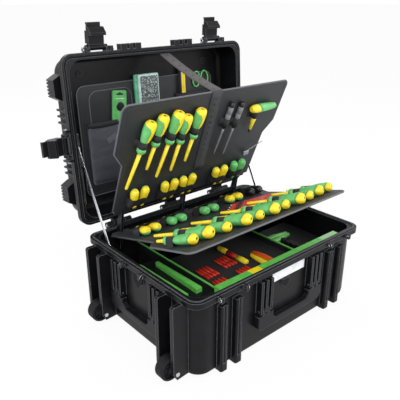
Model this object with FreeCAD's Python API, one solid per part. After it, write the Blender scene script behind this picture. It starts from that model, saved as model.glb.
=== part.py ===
import FreeCAD, Part
import math
import os

# A rolling tool case, standing open: moulded base and lid, latches, folding handles, wheels, a pull
# handle, two hinged tool boards and the tools that they, the lid and the base hold.
# Frame: millimetres, +Z up, floor at z = 0, centre of the rim at x = y = 0, front towards -Y,
# wheels at the -X end.

os.makedirs("parts", exist_ok=True)
Vec = FreeCAD.Vector
X_AXIS = Vec(1, 0, 0)
Y_AXIS = Vec(0, 1, 0)
Z_AXIS = Vec(0, 0, 1)
ORIGIN = Vec(0, 0, 0)

# Driving dimensions of the case
RIM_LENGTH = 590.0
RIM_DEPTH = 434.0
RIM_CORNER_R = 30.0
WALL_CORNER_R = 38.0
RIM_THICK = 14.0
RIM_Z = 212.0
WALL = 3.5
WALL_INSET_X = 14.0
WALL_INSET_Y = 12.0
UNDERSIDE_Z = 10.0
EDGE_R = 16.0
BASE_EDGE_R = 9.0
LID_DEPTH = 84.0
LID_OPEN_DEG = 93.8
HINGE_SETBACK = 15.5

# Clearances and the overrun that lets a cut leave its solid
RUN_FIT = 0.05
GAP = 0.3
SEAT_GAP = 0.2
OVERRUN = 2.0

# Tongue on the base rim, groove and seal in the lid rim
TONGUE_W = 3.0
TONGUE_H = 2.5
TONGUE_INSET = 7.0
GROOVE_W = 4.2
GROOVE_H = 5.0
SEAL_H = 1.8

# Upright ribs of the base
RIB_W = 21.0
RIB_OUT = 15.0
RIB_LOW_Z = 9.0
RIB_ROOT = 12.0
RIB_TOP_DROP = 32.0
RIB_R = 5.0
RIB_FLUTE_W = 9.0
RIB_FLUTE_DEEP = 3.0
FRONT_RIB_SHARES = (0.587, 0.747)
END_RIB_SHARES = (0.585, 0.839)

# Foot pad under the middle of the base
FOOT_L = 40.0
FOOT_W = 110.0

# Lid hinges
HINGE_SHARES = (-0.627, 0.0, 0.627)
KNUCKLE_R = 8.5
HINGE_PIN_R = 3.0
LID_KNUCKLE_L = 36.0
BASE_KNUCKLE_L = 20.0
KNUCKLE_WEB = 11.0

# Folding carry handles: fins moulded on the wall, pins, and a U-shaped grip
HANDLE_FRONT_HALF = 91.0
HANDLE_FRONT_X = 12.0
HANDLE_END_HALF = 78.0
FIN_PITCH = 16.0
FIN_W = 7.5
FIN_OUT = 17.0
FIN_TOP_DROP = 20.0
HANDLE_PIVOT_Z = 112.0
HANDLE_PIVOT_OUT = 10.5
HANDLE_EYE_R = 7.5
HANDLE_PIN_R = 2.5
HANDLE_DROP = 42.0
HANDLE_BAR_H = 17.0
HANDLE_THICK = 13.0
HANDLE_ARM_OVER = 6.0
HANDLE_CHAMFER = 9.0
HANDLE_EDGE_R = 2.5

# Panel recessed behind a carry handle, and the blank label plate
LABEL_W = 117.0
LABEL_H = 31.0
LABEL_T = 1.2
LABEL_TOP_DROP = 16.0
END_CATCH_W = 36.0
END_CATCH_H = 44.0
END_CATCH_DROP = 18.0
FRONT_CATCH_W = 26.0
FRONT_CATCH_H = 27.0
FRONT_CATCH_DROP = 49.0
CATCH_OUT = 5.0

# Wheels in their forks at the -X end
WHEEL_R = 28.5
WHEEL_W = 27.0
WHEEL_Y = 146.0
WHEEL_OUT = 30.0
WHEEL_Z = 29.0
WHEEL_HUB_R = 9.0
WHEEL_WEB_T = 12.0
WHEEL_TREAD_T = 6.0
WHEEL_HOLES = 6
WHEEL_HOLE_R = 4.2
WHEEL_EDGE_R = 3.0
AXLE_R = 4.0
AXLE_HEAD_R = 5.2
AXLE_HEAD_T = 3.0
FORK_T = 10.0
FORK_GAP = 43.0
FORK_OUT = 39.0
FORK_FOOT_Z = 16.0
FORK_TOP_DROP = 12.0
FORK_CHAMFER = 4.0

# Latches
FRONT_LATCH_X = 190.0
LATCH_W = 44.0
LATCH_T = 9.0
LATCH_PIVOT_OUT = 10.0
LATCH_PIVOT_UP = 14.0
LATCH_EYE_R = 7.0
LATCH_PIN_R = 2.0
LATCH_REACH = 48.0
LATCH_OPEN_DEG = 84.0
LATCH_HOOK_IN = 4.0
LATCH_HOOK_T = 6.0
LATCH_HOOK_GAP = 1.0
LATCH_EAR_T = 7.0
LATCH_EAR_UP = 23.0
CHEEK_T = 3.0
CHEEK_OUT = 7.0
LEVER_T = 5.0
LEVER_PIN_R = 2.0
LEVER_PIVOT_DOWN = 16.0
LEVER_LEN = 42.0
LEVER_EYE_R = 3.2
LEVER_LIP = 7.0
LEVER_LIP_T = 4.0
RING_HOLE_R = 3.5
RING_T = 2.0
RING_X = 37.0
PAD_OUT = 12.0

# Ribbed lugs on the lid's front rim
LUG_W = 62.0
LUG_X = 86.0
LUG_SHIFT = 10.0
LUG_OUT = 14.0
LUG_H = 20.0
LUG_SLOT_W = 8.0
LUG_SLOT_PITCH = 18.0
LUG_SLOT_DEEP = 13.0

# Bumpers on the lid's ends, and stiffening ribs on its top
BUMPER_Y = 136.0
BUMPER_L = 66.0
BUMPER_H = 44.0
BUMPER_OUT = 22.0
BUMPER_TAPER = 12.0
BUMPER_GROOVE_W = 3.0
BUMPER_GROOVE_DEEP = 3.0
BUMPER_GROOVES = 5
LID_RIB_W = 30.0
LID_RIB_H = 3.0
LID_RIB_PITCH = 120.0
LID_RIBS = 4
LID_RIB_MARGIN = 40.0
SMALL_RIB_W = 5.0
SMALL_RIB_OUT = 9.0
SMALL_RIB_SHARES = (0.244, 0.322, 0.4)
BOSS_R = 9.0
BOSS_H = 3.0
BOSS_X = 210.0
BOSS_FROM_HINGE = 395.0
BOSS_HOLE_R = 3.0

# Pull handle: two tubes in bores of the floor, bushes, grip and button
TUBE_R = 6.0
TUBE_WALL = 1.5
TUBE_Y = 70.0
TUBE_Z = 19.5
TUBE_IN = 435.0
CHANNEL_W = 21.0
CHANNEL_TOP = 10.0
CHANNEL_END = 12.0
BUSH_R = 9.0
BUSH_T = 7.0
GRIP_GAP = 24.0
GRIP_T = 16.0
GRIP_H = 18.0
GRIP_HALF = 88.0
GRIP_ARM_W = 20.0
GRIP_R = 5.0
BUTTON_L = 40.0
BUTTON_H = 9.0
BUTTON_PROUD = 2.0
BUTTON_DEEP = 6.0
BUTTON_TRAVEL = 3.0

# Lid stays: arms on the base, strips on its rim, rails in the lid
STAY_Y = 140.0
STAY_Z = 203.0
STAY_HOLD_FROM = 222.0
STAY_ARM_W = 8.0
STAY_ARM_T = 2.2
STAY_PIN_R = 2.0
STAY_STRIP_L = 126.0
STAY_STRIP_W = 10.0
STAY_STRIP_T = 1.6
STAY_SIDE_GAP = 1.6
RAIL_T = 2.0
RAIL_W = 11.0
RAIL_FROM = 68.0
RAIL_TO = 256.0
RAIL_SLOT_W = 3.5
RAIL_FLANGE_W = 13.0
RAIL_FLANGE_GAP = 4.0

# Tool boards and their hinge posts, each given flat as it lies in the closed case
BOARD_T = 5.0
BOARD_SIDE_GAP = 7.5
BOARD_STEP_IN = 28.0
BOARD_R = 16.0
BOARD_START = 11.0
UPPER_PIVOT_Y = 176.0
UPPER_PIVOT_Z = 271.0
UPPER_FACE_Z = 262.0
UPPER_LEN = 328.0
UPPER_STEP_LOW = 160.0
UPPER_STEP_HIGH = 200.0
UPPER_TILT_DEG = 67.6
LOWER_PIVOT_Y = 188.0
LOWER_PIVOT_Z = 203.4
LOWER_FACE_Z = 205.8
LOWER_LEN = 378.0
LOWER_STEP_LOW = 206.0
LOWER_STEP_HIGH = 232.0
LOWER_TILT_DEG = 16.0
BOARD_EYE_R = 4.5
BOARD_EYE_L = 20.0
BOARD_PIN_R = 2.0
POST_T = 8.0
POST_SHARES = (-0.86, 0.0, 0.86)
POST_FOOT_Z = 150.0
FLAP_T = 1.6
FLAP_LOW = 34.5
FLAP_TOP = 17.0

# Screwdrivers: handle radius, handle length, blade radius
UPPER_HANDLE_R = 13.4
UPPER_HANDLE_L = 56.0
LOWER_HANDLE_R = 13.4
LOWER_HANDLE_L = 66.0
# Handles are wider across the board than they are high
HANDLE_WIDE_SHARE = 1.2
BLADE_R = 3.4
BLADE_TIP_R = 1.6
BLADE_TIP_L = 12.0
CAP_HOLE_R = 2.6
CAP_HOLE_DEEP = 5.0
GRIP_FROM_SHARE = 0.36
SADDLE_T = 1.6
SADDLE_W = 12.0
SADDLE_FOOT = 7.0
# Handle outline: shares of the handle's length and of its radius, from the butt to the neck
HANDLE_SHARES = ((0.0, 0.50), (0.06, 0.84), (0.2, 1.0), (0.36, 0.97), (0.6, 0.86), (0.82, 0.66), (0.93, 0.7),
                 (1.0, 0.62))
# Upper row: shares of the board's half width and length, for butt across, butt up and blade end up, then size
UPPER_DRIVER_SHARES = ((-0.72, 0.858, 0.294, 0.95), (-0.596, 0.889, 0.438, 0.92), (-0.437, 0.901, 0.338, 1.0),
                       (-0.32, 0.852, 0.36, 0.88), (-0.176, 0.887, 0.425, 0.93))
UPPER_SLANT_DEG = (10.0, 6.2, 7.0, 3.5, 3.1)
# Lower row: shares of the board's half width and length for the butt, then radius and blade length shares
LOWER_DRIVER_SHARES = ((-0.822, 0.915, 0.84, 0.5), (-0.659, 0.926, 1.0, 0.95), (-0.474, 0.931, 0.84, 0.8),
                       (-0.267, 0.958, 1.0, 1.0), (-0.096, 0.942, 0.82, 0.8), (0.089, 0.958, 1.0, 1.0),
                       (0.256, 0.937, 0.84, 0.8), (0.444, 0.958, 1.0, 1.0), (0.604, 0.937, 0.82, 0.75),
                       (0.774, 0.931, 0.95, 0.9), (0.937, 0.918, 0.84, 0.8))
LOWER_BLADE_L = 88.0
LOWER_SLANT_DEG = 26.0

# Slim drivers, side-gripped driver and pliers
SLIM_R = 7.2
SLIM_L = 78.0
SLIM_BLADE_R = 1.6
SLIM_SHARES = ((0.232, 0.892, 0.4), (0.373, 0.877, 0.364))
SLIM_SLANT_DEG = 3.0
SIDE_GRIP_R = 11.0
SIDE_GRIP_L = 96.0
SIDE_GRIP_X = 138.0
SIDE_GRIP_S = 262.0
SIDE_BLADE_L = 84.0
SIDE_BLADE_AT = 24.0
PLIER_R = 11.4
PLIER_SPREAD = 31.0
PLIER_SPLAY_DEG = 6.0
PLIER_L = 52.0
PLIER_POCKET_T = 1.6
PLIER_POCKET_L = 34.0
# Places of the pliers: shares of the board's half width and length
UPPER_PLIER_SHARES = ((-0.667, 0.247), (-0.311, 0.238), (-0.081, 0.238), (0.363, 0.232), (0.622, 0.244))
LOWER_PLIER_SHARES = ((-0.722, 0.376), (-0.4, 0.363), (-0.02, 0.394), (0.43, 0.315), (0.763, 0.296))
RED_TOOL_R = 4.0
RED_TOOL_L = 135.0
RED_TOOL_SHARES = ((0.407, 0.655), (0.481, 0.615), (0.556, 0.575), (0.63, 0.535), (0.704, 0.495))
RED_SLANT_DEG = 73.0

# Webbing strap between lid and upper board
STRAP_X = 10.0
STRAP_W = 34.0
STRAP_T = 1.6
STRAP_ON_BOARD = 246.0
STRAP_LID_DEEP = 6.0
STRAP_END_GAP = 0.5

# Lid lining, pockets and what they hold: shares of the lid's inner half width and of its run from the hinge
PANEL_T = 3.0
PANEL_X_SHARES = (-0.814, 0.865)
PANEL_RUN_SHARES = (0.143, 0.834)
PANEL_R = 22.0
POCKET_T = 11.0
POCKET_R = 8.0
POCKET_SHARES = (((-0.742, -0.382), (0.212, 0.604)), ((-0.346, 0.303), (0.212, 0.618)),
                 ((0.339, 0.829), (0.212, 0.705)))
TESTER_X_SHARES = (-0.46, -0.302)
TESTER_RUN_SHARES = (0.624, 0.788)
TESTER_T = 7.0
TESTER_R = 5.0
TESTER_HOLE_R = 4.0
BIT_BOX_X_SHARES = (-0.178, 0.101)
BIT_BOX_RUN_SHARES = (0.622, 0.868)
BIT_BOX_T = 17.0
BIT_BOX_R = 7.0
RULE_X_SHARE = 0.4
RULE_RUN_SHARES = (0.71, 0.882)
RULE_LEAVES = 5
RULE_T = 12.0
RULE_LEAF_T = 3.2
SCISSOR_X_SHARES = (0.643, 0.762)
SCISSOR_RUN_SHARE = 0.77
SCISSOR_RING_R = 14.0
SCISSOR_RING_L = 50.0
SCISSOR_WIRE_R = 2.6
SCISSOR_SHANK = 8.0

# Base contents
DIVIDER_T = 2.4
DIVIDER_SHARES = (-0.649, 0.346)
DIVIDER_TOP = 184.0
DIVIDER_BACK = 150.0
INSERT_TOP = 166.0
INSERT_BACK = 40.0
INSERT_MARGIN = 0.6
INSERT_T = 18.0
SKIRT_T = 3.0
TRAY_T = 4.0
BIT_R = 3.6
BIT_L = 50.0
BIT_PITCH = 10.5
BIT_COUNT = 4
# Places in the base: shares of its inner half width and half depth
BIT_GROUP_SHARES = ((-0.477, -0.368), (-0.23, -0.319), (-0.21, -0.682), (-0.497, -0.682))
BIT_PROUD = 2.0
KNIFE_X_SHARE = -0.09
KNIFE_Y_SHARES = (-0.516, 0.02)
KNIFE_R = 8.0
RED_HANDLE_X_SHARE = 0.06
RED_HANDLE_Y_SHARES = (-0.785, -0.4)
RED_HANDLE_R = 16.0
LEVEL_W = 22.0
LEVEL_H = 40.0
LEVEL_Y = -180.0
LEVEL_LEFT_GAP = 82.5
LEVEL_RIGHT_GAP = 42.5
LEVEL_TOP = 199.4
LEVEL_TURN_DEG = -0.5
VIAL_AT = -96.0
VIAL_L = 34.0
LEVEL_END_L = 66.0
SAW_X_SHARES = (-0.92, -0.77)
SAW_Y_SHARES = ((-0.695, 0.169), (-0.685, 0.099))
SAW_W = 16.0
SAW_H = 12.0
SAW_TOP = 188.0
CRIMP_X_SHARE = 0.39
CRIMP_Y_SHARE = -0.243
CRIMP_L = 86.0
CRIMP_R = 8.0
CRIMP_SPREAD = 26.0
RAIL_BLOCK_X_SHARES = (0.37, 0.51)
RAIL_BLOCK_Y_SHARES = (-0.79, -0.43)
RAIL_BLOCK_H = 20.0
SOCKET_R = 8.0
SOCKET_H = 14.0
SOCKET_COUNT = 4
TRAY_TOP = 150.0

# Worked-out places of the case
HALF_X = RIM_LENGTH / 2
HALF_Y = RIM_DEPTH / 2
WALL_X = HALF_X - WALL_INSET_X
WALL_Y = HALF_Y - WALL_INSET_Y
IN_X = WALL_X - WALL
IN_Y = WALL_Y - WALL
IN_CORNER_R = WALL_CORNER_R - WALL
FLOOR_Z = UNDERSIDE_Z + WALL
RIM_LOW_Z = RIM_Z - RIM_THICK
LID_TOP_Z = RIM_Z + LID_DEPTH
LID_IN_Z = LID_TOP_Z - WALL
HINGE_Y = HALF_Y + HINGE_SETBACK
HINGE_AXIS = Vec(0, HINGE_Y, RIM_Z)
AXLE_X = -WALL_X - WHEEL_OUT
LID_RUN = HINGE_Y + IN_Y
CHANNEL_TOP_Z = TUBE_Z + CHANNEL_TOP
CHANNEL_LOW_X = WALL_X - TUBE_IN - CHANNEL_END
RING_R = PAD_OUT / 2 - GAP
BOARD_HALF = IN_X - BOARD_SIDE_GAP
BOARD_REAR_HALF = BOARD_HALF - BOARD_STEP_IN
LEVEL_L = 2 * IN_X - LEVEL_LEFT_GAP - LEVEL_RIGHT_GAP
LEVEL_X = (LEVEL_LEFT_GAP - LEVEL_RIGHT_GAP) / 2


def block(x, y, z):
    """Box from three (low, high) pairs."""
    return Part.makeBox(x[1] - x[0], y[1] - y[0], z[1] - z[0], Vec(x[0], y[0], z[0]))


def around(middle, size):
    """(low, high) pair of a size centred on a place."""
    return (middle - size / 2, middle + size / 2)


def rod(start, end, radius):
    """Round rod between two points."""
    run = end.sub(start)
    return Part.makeCylinder(radius, run.Length, start, run)


def outline(points):
    """Closed straight-sided wire through points."""
    return Part.makePolygon(list(points) + [points[0]])


def prism(points, run):
    """Straight-sided face pushed along a vector."""
    return Part.Face(outline(points)).extrude(run)


def rounded_wire(x, y, radius, z):
    """Rectangle with round corners, flat at height z."""
    (x0, x1), (y0, y1) = x, y
    slack = radius * (1 - math.sqrt(1 / 2))
    corners = ((x1, y0, -1, 1), (x1, y1, -1, -1), (x0, y1, 1, -1), (x0, y0, 1, 1))
    edges = []
    ends = []
    for index, (cx, cy, sx, sy) in enumerate(corners):
        along_x = Vec(cx + sx * radius, cy, z)
        along_y = Vec(cx, cy + sy * radius, z)
        middle = Vec(cx + sx * slack, cy + sy * slack, z)
        first, last = (along_x, along_y) if index % 2 == 0 else (along_y, along_x)
        edges.append(Part.Arc(first, middle, last).toShape())
        ends.append((first, last))
    for index in range(len(corners)):
        start = ends[index][1]
        end = ends[(index + 1) % len(corners)][0]
        edges.append(Part.makeLine(start, end))
    return Part.Wire(Part.__sortEdges__(edges))


def slab(x, y, z, radius):
    """Block with round upright corners."""
    face = Part.Face(rounded_wire(x, y, radius, z[0]))
    return face.extrude(Vec(0, 0, z[1] - z[0]))


def loop(half_x, half_y, radius, z, width):
    """Flat ring of a given width inside a rounded rectangle."""
    outer = slab((-half_x, half_x), (-half_y, half_y), z, radius)
    in_x = half_x - width
    in_y = half_y - width
    low, high = z
    inner = slab((-in_x, in_x), (-in_y, in_y), (low - OVERRUN, high + OVERRUN), radius - width)
    return outer.cut(inner)


def edges_at(shape, height):
    """Edges that lie flat at one height."""
    near = RUN_FIT
    return [e for e in shape.Edges
            if abs(e.BoundBox.ZMin - height) < near and abs(e.BoundBox.ZMax - height) < near]


def mirrored_x(shape):
    """Copy on the other side of the middle plane."""
    return shape.mirror(ORIGIN, X_AXIS)


def group(shapes):
    """Several separate solids as one shape."""
    solids = []
    for shape in shapes:
        solids.extend(shape.Solids)
    return Part.makeCompound(solids)


def opened(shape):
    """A lid piece turned from the closed case to the open one."""
    return shape.rotated(HINGE_AXIS, X_AXIS, -LID_OPEN_DEG)


def to_end(shape, side):
    """A piece made at the front, outwards along -Y from y = 0, turned to an end of the case."""
    return shape.rotated(ORIGIN, Z_AXIS, side * 90)


def lid_y(from_hinge):
    """Place along the closed lid, measured from the hinge."""
    return HINGE_Y - from_hinge


def parts_of(size, shares):
    """Lengths that are given shares of a size."""
    return tuple(size * share for share in shares)


# Base

def rib(low, high):
    """Upright hollow-fronted rib on a wall at y = 0, between two heights."""
    body = slab(around(0, RIB_W), (-RIB_OUT, RIB_ROOT), (low, high), RIB_R)
    flute = block(around(0, RIB_FLUTE_W), (-RIB_OUT - OVERRUN, -RIB_OUT + RIB_FLUTE_DEEP),
                  (low + RIB_W, high + OVERRUN))
    return body.cut(flute)


def handle_fins(half):
    """Fins that carry one carry handle, on a wall at y = 0."""
    top = RIM_LOW_Z - FIN_TOP_DROP + RIM_THICK
    fins = []
    for side in (-1, 1):
        for step in (-1, 0, 1):
            middle = side * half + step * FIN_PITCH
            x = around(middle, FIN_W)
            plate = block(x, (-FIN_OUT, WALL), (HANDLE_PIVOT_Z, top))
            eye_axis = Vec(x[0], -HANDLE_PIVOT_OUT, HANDLE_PIVOT_Z)
            eye = Part.makeCylinder(HANDLE_EYE_R, FIN_W, eye_axis, X_AXIS)
            web = block(x, (-HANDLE_PIVOT_OUT, WALL), (HANDLE_PIVOT_Z - HANDLE_EYE_R, top))
            hole = Part.makeCylinder(HANDLE_PIN_R + RUN_FIT, FIN_W + 2 * OVERRUN,
                                     eye_axis - X_AXIS * OVERRUN, X_AXIS)
            fins.append(plate.fuse([eye, web]).cut(hole))
    return fins


def fork_plate(middle):
    """One plate of a wheel fork at the -X end."""
    y = around(middle, FORK_T)
    top = RIM_LOW_Z - FORK_TOP_DROP + RIM_THICK
    outer = -WALL_X - FORK_OUT
    inner = -WALL_X + RIB_ROOT
    start = y[0]
    points = [Vec(inner, start, top), Vec(outer + FORK_CHAMFER, start, top),
              Vec(outer, start, top - FORK_CHAMFER),
              Vec(outer, start, WHEEL_Z), Vec(AXLE_X, start, FORK_FOOT_Z - WALL),
              Vec(inner, start, FORK_FOOT_Z)]
    plate = prism(points, Y_AXIS * FORK_T)
    hole = Part.makeCylinder(AXLE_R + RUN_FIT, FORK_T + 2 * OVERRUN,
                             Vec(AXLE_X, start - OVERRUN, WHEEL_Z), Y_AXIS)
    return plate.cut(hole)


def base_hinge_ears():
    """Hinge barrels on the base's rear rim."""
    ears = []
    for middle in parts_of(HALF_X, HINGE_SHARES):
        for side in (-1, 1):
            offset = (LID_KNUCKLE_L + BASE_KNUCKLE_L) / 2 + GAP
            x = around(middle + side * offset, BASE_KNUCKLE_L)
            start = Vec(x[0], HINGE_Y, RIM_Z)
            barrel = Part.makeCylinder(KNUCKLE_R, BASE_KNUCKLE_L, start, X_AXIS)
            web = block(x, (HALF_Y - WALL, HINGE_Y), (RIM_Z - KNUCKLE_WEB, RIM_Z - GAP))
            hole = Part.makeCylinder(HINGE_PIN_R, BASE_KNUCKLE_L + 2 * OVERRUN,
                                     start - X_AXIS * OVERRUN, X_AXIS)
            ears.append(barrel.fuse(web).cut(hole))
    return ears


def latch_keep():
    """Padlock lugs of one latch on the base rim, outwards along -Y from y = 0."""
    lugs = []
    for side in (-1, 1):
        x = around(side * RING_X, LATCH_EAR_T)
        lug = block(x, (-PAD_OUT, WALL_INSET_Y), (RIM_LOW_Z, RIM_Z - GAP))
        hole = Part.makeCylinder(RING_HOLE_R, LATCH_EAR_T + 2 * OVERRUN,
                                 Vec(x[0] - OVERRUN, -PAD_OUT / 2, (RIM_LOW_Z + RIM_Z) / 2), X_AXIS)
        lugs.append(lug.cut(hole))
    return lugs


def channels(clear):
    """Blocks on the floor that hold the pull handle's tubes, grown by a clearance."""
    blocks = []
    for side in (-1, 1):
        y = around(side * TUBE_Y, CHANNEL_W + 2 * clear)
        blocks.append(block((CHANNEL_LOW_X - clear, WALL_X - WALL / 2), y,
                            (FLOOR_Z - WALL / 2, CHANNEL_TOP_Z + clear)))
    return blocks


def tongue_plate(width, height, top):
    """Pointed plate raised on a wall at y = 0, hanging from a height."""
    x = around(0, width)
    point = top - height
    waist = point + width / 2
    outline = [Vec(x[0], -CATCH_OUT, top), Vec(x[1], -CATCH_OUT, top), Vec(x[1], -CATCH_OUT, waist),
               Vec(0, -CATCH_OUT, point), Vec(x[0], -CATCH_OUT, waist)]
    return prism(outline, Y_AXIS * (CATCH_OUT + WALL))


def base_shell():
    """Moulded base: walls, floor, rim, ribs, forks, handle fins and hinge ears."""
    outer = slab((-WALL_X, WALL_X), (-WALL_Y, WALL_Y), (UNDERSIDE_Z, RIM_Z), WALL_CORNER_R)
    outer = outer.makeFillet(BASE_EDGE_R, edges_at(outer, UNDERSIDE_Z))
    rim = slab((-HALF_X, HALF_X), (-HALF_Y, HALF_Y), (RIM_LOW_Z, RIM_Z), RIM_CORNER_R)
    added = [rim]
    rib_top = RIM_LOW_Z - RIB_TOP_DROP + RIM_THICK
    one_rib = rib(RIB_LOW_Z, rib_top)
    for x in parts_of(WALL_X, FRONT_RIB_SHARES):
        for side in (-1, 1):
            added.append(one_rib.translated(Vec(side * x, -WALL_Y, 0)))
            added.append(one_rib.rotated(ORIGIN, Z_AXIS, 180).translated(Vec(side * x, WALL_Y, 0)))
    right_rib = to_end(rib(0, rib_top), 1)
    for y in parts_of(WALL_Y, END_RIB_SHARES):
        for side in (-1, 1):
            added.append(right_rib.translated(Vec(WALL_X, side * y, 0)))
    for side in (-1, 1):
        for offset in (-1, 1):
            added.append(fork_plate(side * WHEEL_Y + offset * (FORK_GAP + FORK_T) / 2))
    for fin in handle_fins(HANDLE_FRONT_HALF):
        added.append(fin.translated(Vec(HANDLE_FRONT_X, -WALL_Y, 0)))
    for fin in handle_fins(HANDLE_END_HALF):
        added.append(to_end(fin, -1).translated(Vec(-WALL_X, 0, 0)))
    catch = tongue_plate(END_CATCH_W, END_CATCH_H, RIM_Z - END_CATCH_DROP)
    front_catch = tongue_plate(FRONT_CATCH_W, FRONT_CATCH_H, RIM_Z - FRONT_CATCH_DROP)
    added.append(front_catch.translated(Vec(0, -WALL_Y, 0)))
    added.append(to_end(catch, -1).translated(Vec(-WALL_X, 0, 0)))
    added.append(to_end(catch, 1).translated(Vec(WALL_X, 0, 0)))
    for side in (-1, 1):
        for lug in latch_keep():
            added.append(lug.translated(Vec(side * FRONT_LATCH_X, -HALF_Y, 0)))
            added.append(to_end(lug, side).translated(Vec(side * HALF_X, 0, 0)))
    added.extend(base_hinge_ears())
    added.append(slab(around(0, FOOT_L), around(0, FOOT_W), (0, UNDERSIDE_Z + WALL / 2), FOOT_L / 4))
    shell = outer.fuse(added)
    cavity = slab((-IN_X, IN_X), (-IN_Y, IN_Y), (FLOOR_Z, RIM_Z + OVERRUN), IN_CORNER_R)
    cavity = cavity.makeFillet(BASE_EDGE_R - WALL, edges_at(cavity, FLOOR_Z))
    shell = shell.cut(cavity)
    for channel in channels(0):
        shell = shell.fuse(channel)
    bores = []
    for side in (-1, 1):
        bore_start = Vec(CHANNEL_LOW_X + CHANNEL_END - WALL, side * TUBE_Y, TUBE_Z)
        bores.append(Part.makeCylinder(TUBE_R + GAP, TUBE_IN + CHANNEL_END, bore_start, X_AXIS))
        seat = Vec(WALL_X - BUSH_T, side * TUBE_Y, TUBE_Z)
        bores.append(Part.makeCylinder(BUSH_R + RUN_FIT, BUSH_T + OVERRUN, seat, X_AXIS))
    shell = shell.cut(bores)
    tongue = loop(HALF_X - TONGUE_INSET, HALF_Y - TONGUE_INSET, RIM_CORNER_R - TONGUE_INSET,
                  (RIM_Z - WALL, RIM_Z + TONGUE_H), TONGUE_W)
    return shell.fuse(tongue).removeSplitter()


def label_plate():
    """Blank label plate under the front rim, between the handle fins."""
    top = RIM_LOW_Z - LABEL_TOP_DROP + RIM_THICK
    return block(around(HANDLE_FRONT_X, LABEL_W), (-WALL_Y - LABEL_T, -WALL_Y), (top - LABEL_H, top))


def washer(x, y, z):
    """Stainless ring on a lug, its axis along X."""
    ring = Part.makeCylinder(RING_R, RING_T, Vec(x, y, z), X_AXIS)
    return ring.cut(Part.makeCylinder(RING_HOLE_R, RING_T + 2 * OVERRUN, Vec(x - OVERRUN, y, z), X_AXIS))


def padlock_rings(y, z):
    """Rings on the outer faces of one latch's two lugs, for a rim face at y = 0."""
    out = RING_X + LATCH_EAR_T / 2
    return [washer(out, y, z), washer(-out - RING_T, y, z)]


def padlock_rings_base():
    """All rings on the base's padlock lugs."""
    rings = []
    for ring in padlock_rings(-PAD_OUT / 2, (RIM_LOW_Z + RIM_Z) / 2):
        for side in (-1, 1):
            rings.append(ring.translated(Vec(side * FRONT_LATCH_X, -HALF_Y, 0)))
            rings.append(to_end(ring, side).translated(Vec(side * HALF_X, 0, 0)))
    return group(rings)


def hinge_pins():
    """Steel pins of the three lid hinges."""
    length = LID_KNUCKLE_L + 2 * (BASE_KNUCKLE_L + GAP)
    return group([rod(Vec(x - length / 2, HINGE_Y, RIM_Z), Vec(x + length / 2, HINGE_Y, RIM_Z), HINGE_PIN_R)
                  for x in parts_of(HALF_X, HINGE_SHARES)])


def wheel():
    """Spoked wheel at the origin, axle along Y."""
    half = WHEEL_W / 2
    body = Part.makeCylinder(WHEEL_R, WHEEL_W, Vec(0, -half, 0), Y_AXIS)
    body = body.makeFillet(WHEEL_EDGE_R, [e for e in body.Edges if e.Curve.TypeId == "Part::GeomCircle"])
    dish_r = WHEEL_R - WHEEL_TREAD_T
    dish_t = (WHEEL_W - WHEEL_WEB_T) / 2
    for y in (-half, half - dish_t):
        dish = Part.makeCylinder(dish_r, dish_t, Vec(0, y, 0), Y_AXIS)
        dish = dish.cut(Part.makeCylinder(WHEEL_HUB_R, dish_t, Vec(0, y, 0), Y_AXIS))
        body = body.cut(dish)
    ring_r = (WHEEL_HUB_R + dish_r) / 2
    holes = []
    for index in range(WHEEL_HOLES):
        angle = 2 * math.pi * index / WHEEL_HOLES
        start = Vec(ring_r * math.cos(angle), -half, ring_r * math.sin(angle))
        holes.append(Part.makeCylinder(WHEEL_HOLE_R, WHEEL_W, start, Y_AXIS))
    holes.append(Part.makeCylinder(AXLE_R + RUN_FIT, WHEEL_W, Vec(0, -half, 0), Y_AXIS))
    return body.cut(holes)


def axle(middle):
    """Headed axle through one fork."""
    span = FORK_GAP + 2 * FORK_T
    start = Vec(AXLE_X, middle - span / 2, WHEEL_Z)
    pin = Part.makeCylinder(AXLE_R, span, start, Y_AXIS)
    head_a = Part.makeCylinder(AXLE_HEAD_R, AXLE_HEAD_T, start - Y_AXIS * AXLE_HEAD_T, Y_AXIS)
    head_b = Part.makeCylinder(AXLE_HEAD_R, AXLE_HEAD_T, start + Y_AXIS * span, Y_AXIS)
    spacer_l = (FORK_GAP - WHEEL_W) / 2 - GAP
    bosses = []
    for y in (middle - FORK_GAP / 2, middle + FORK_GAP / 2 - spacer_l):
        bosses.append(Part.makeCylinder(AXLE_HEAD_R, spacer_l, Vec(AXLE_X, y, WHEEL_Z), Y_AXIS))
    return pin.fuse([head_a, head_b] + bosses).removeSplitter()


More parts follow.
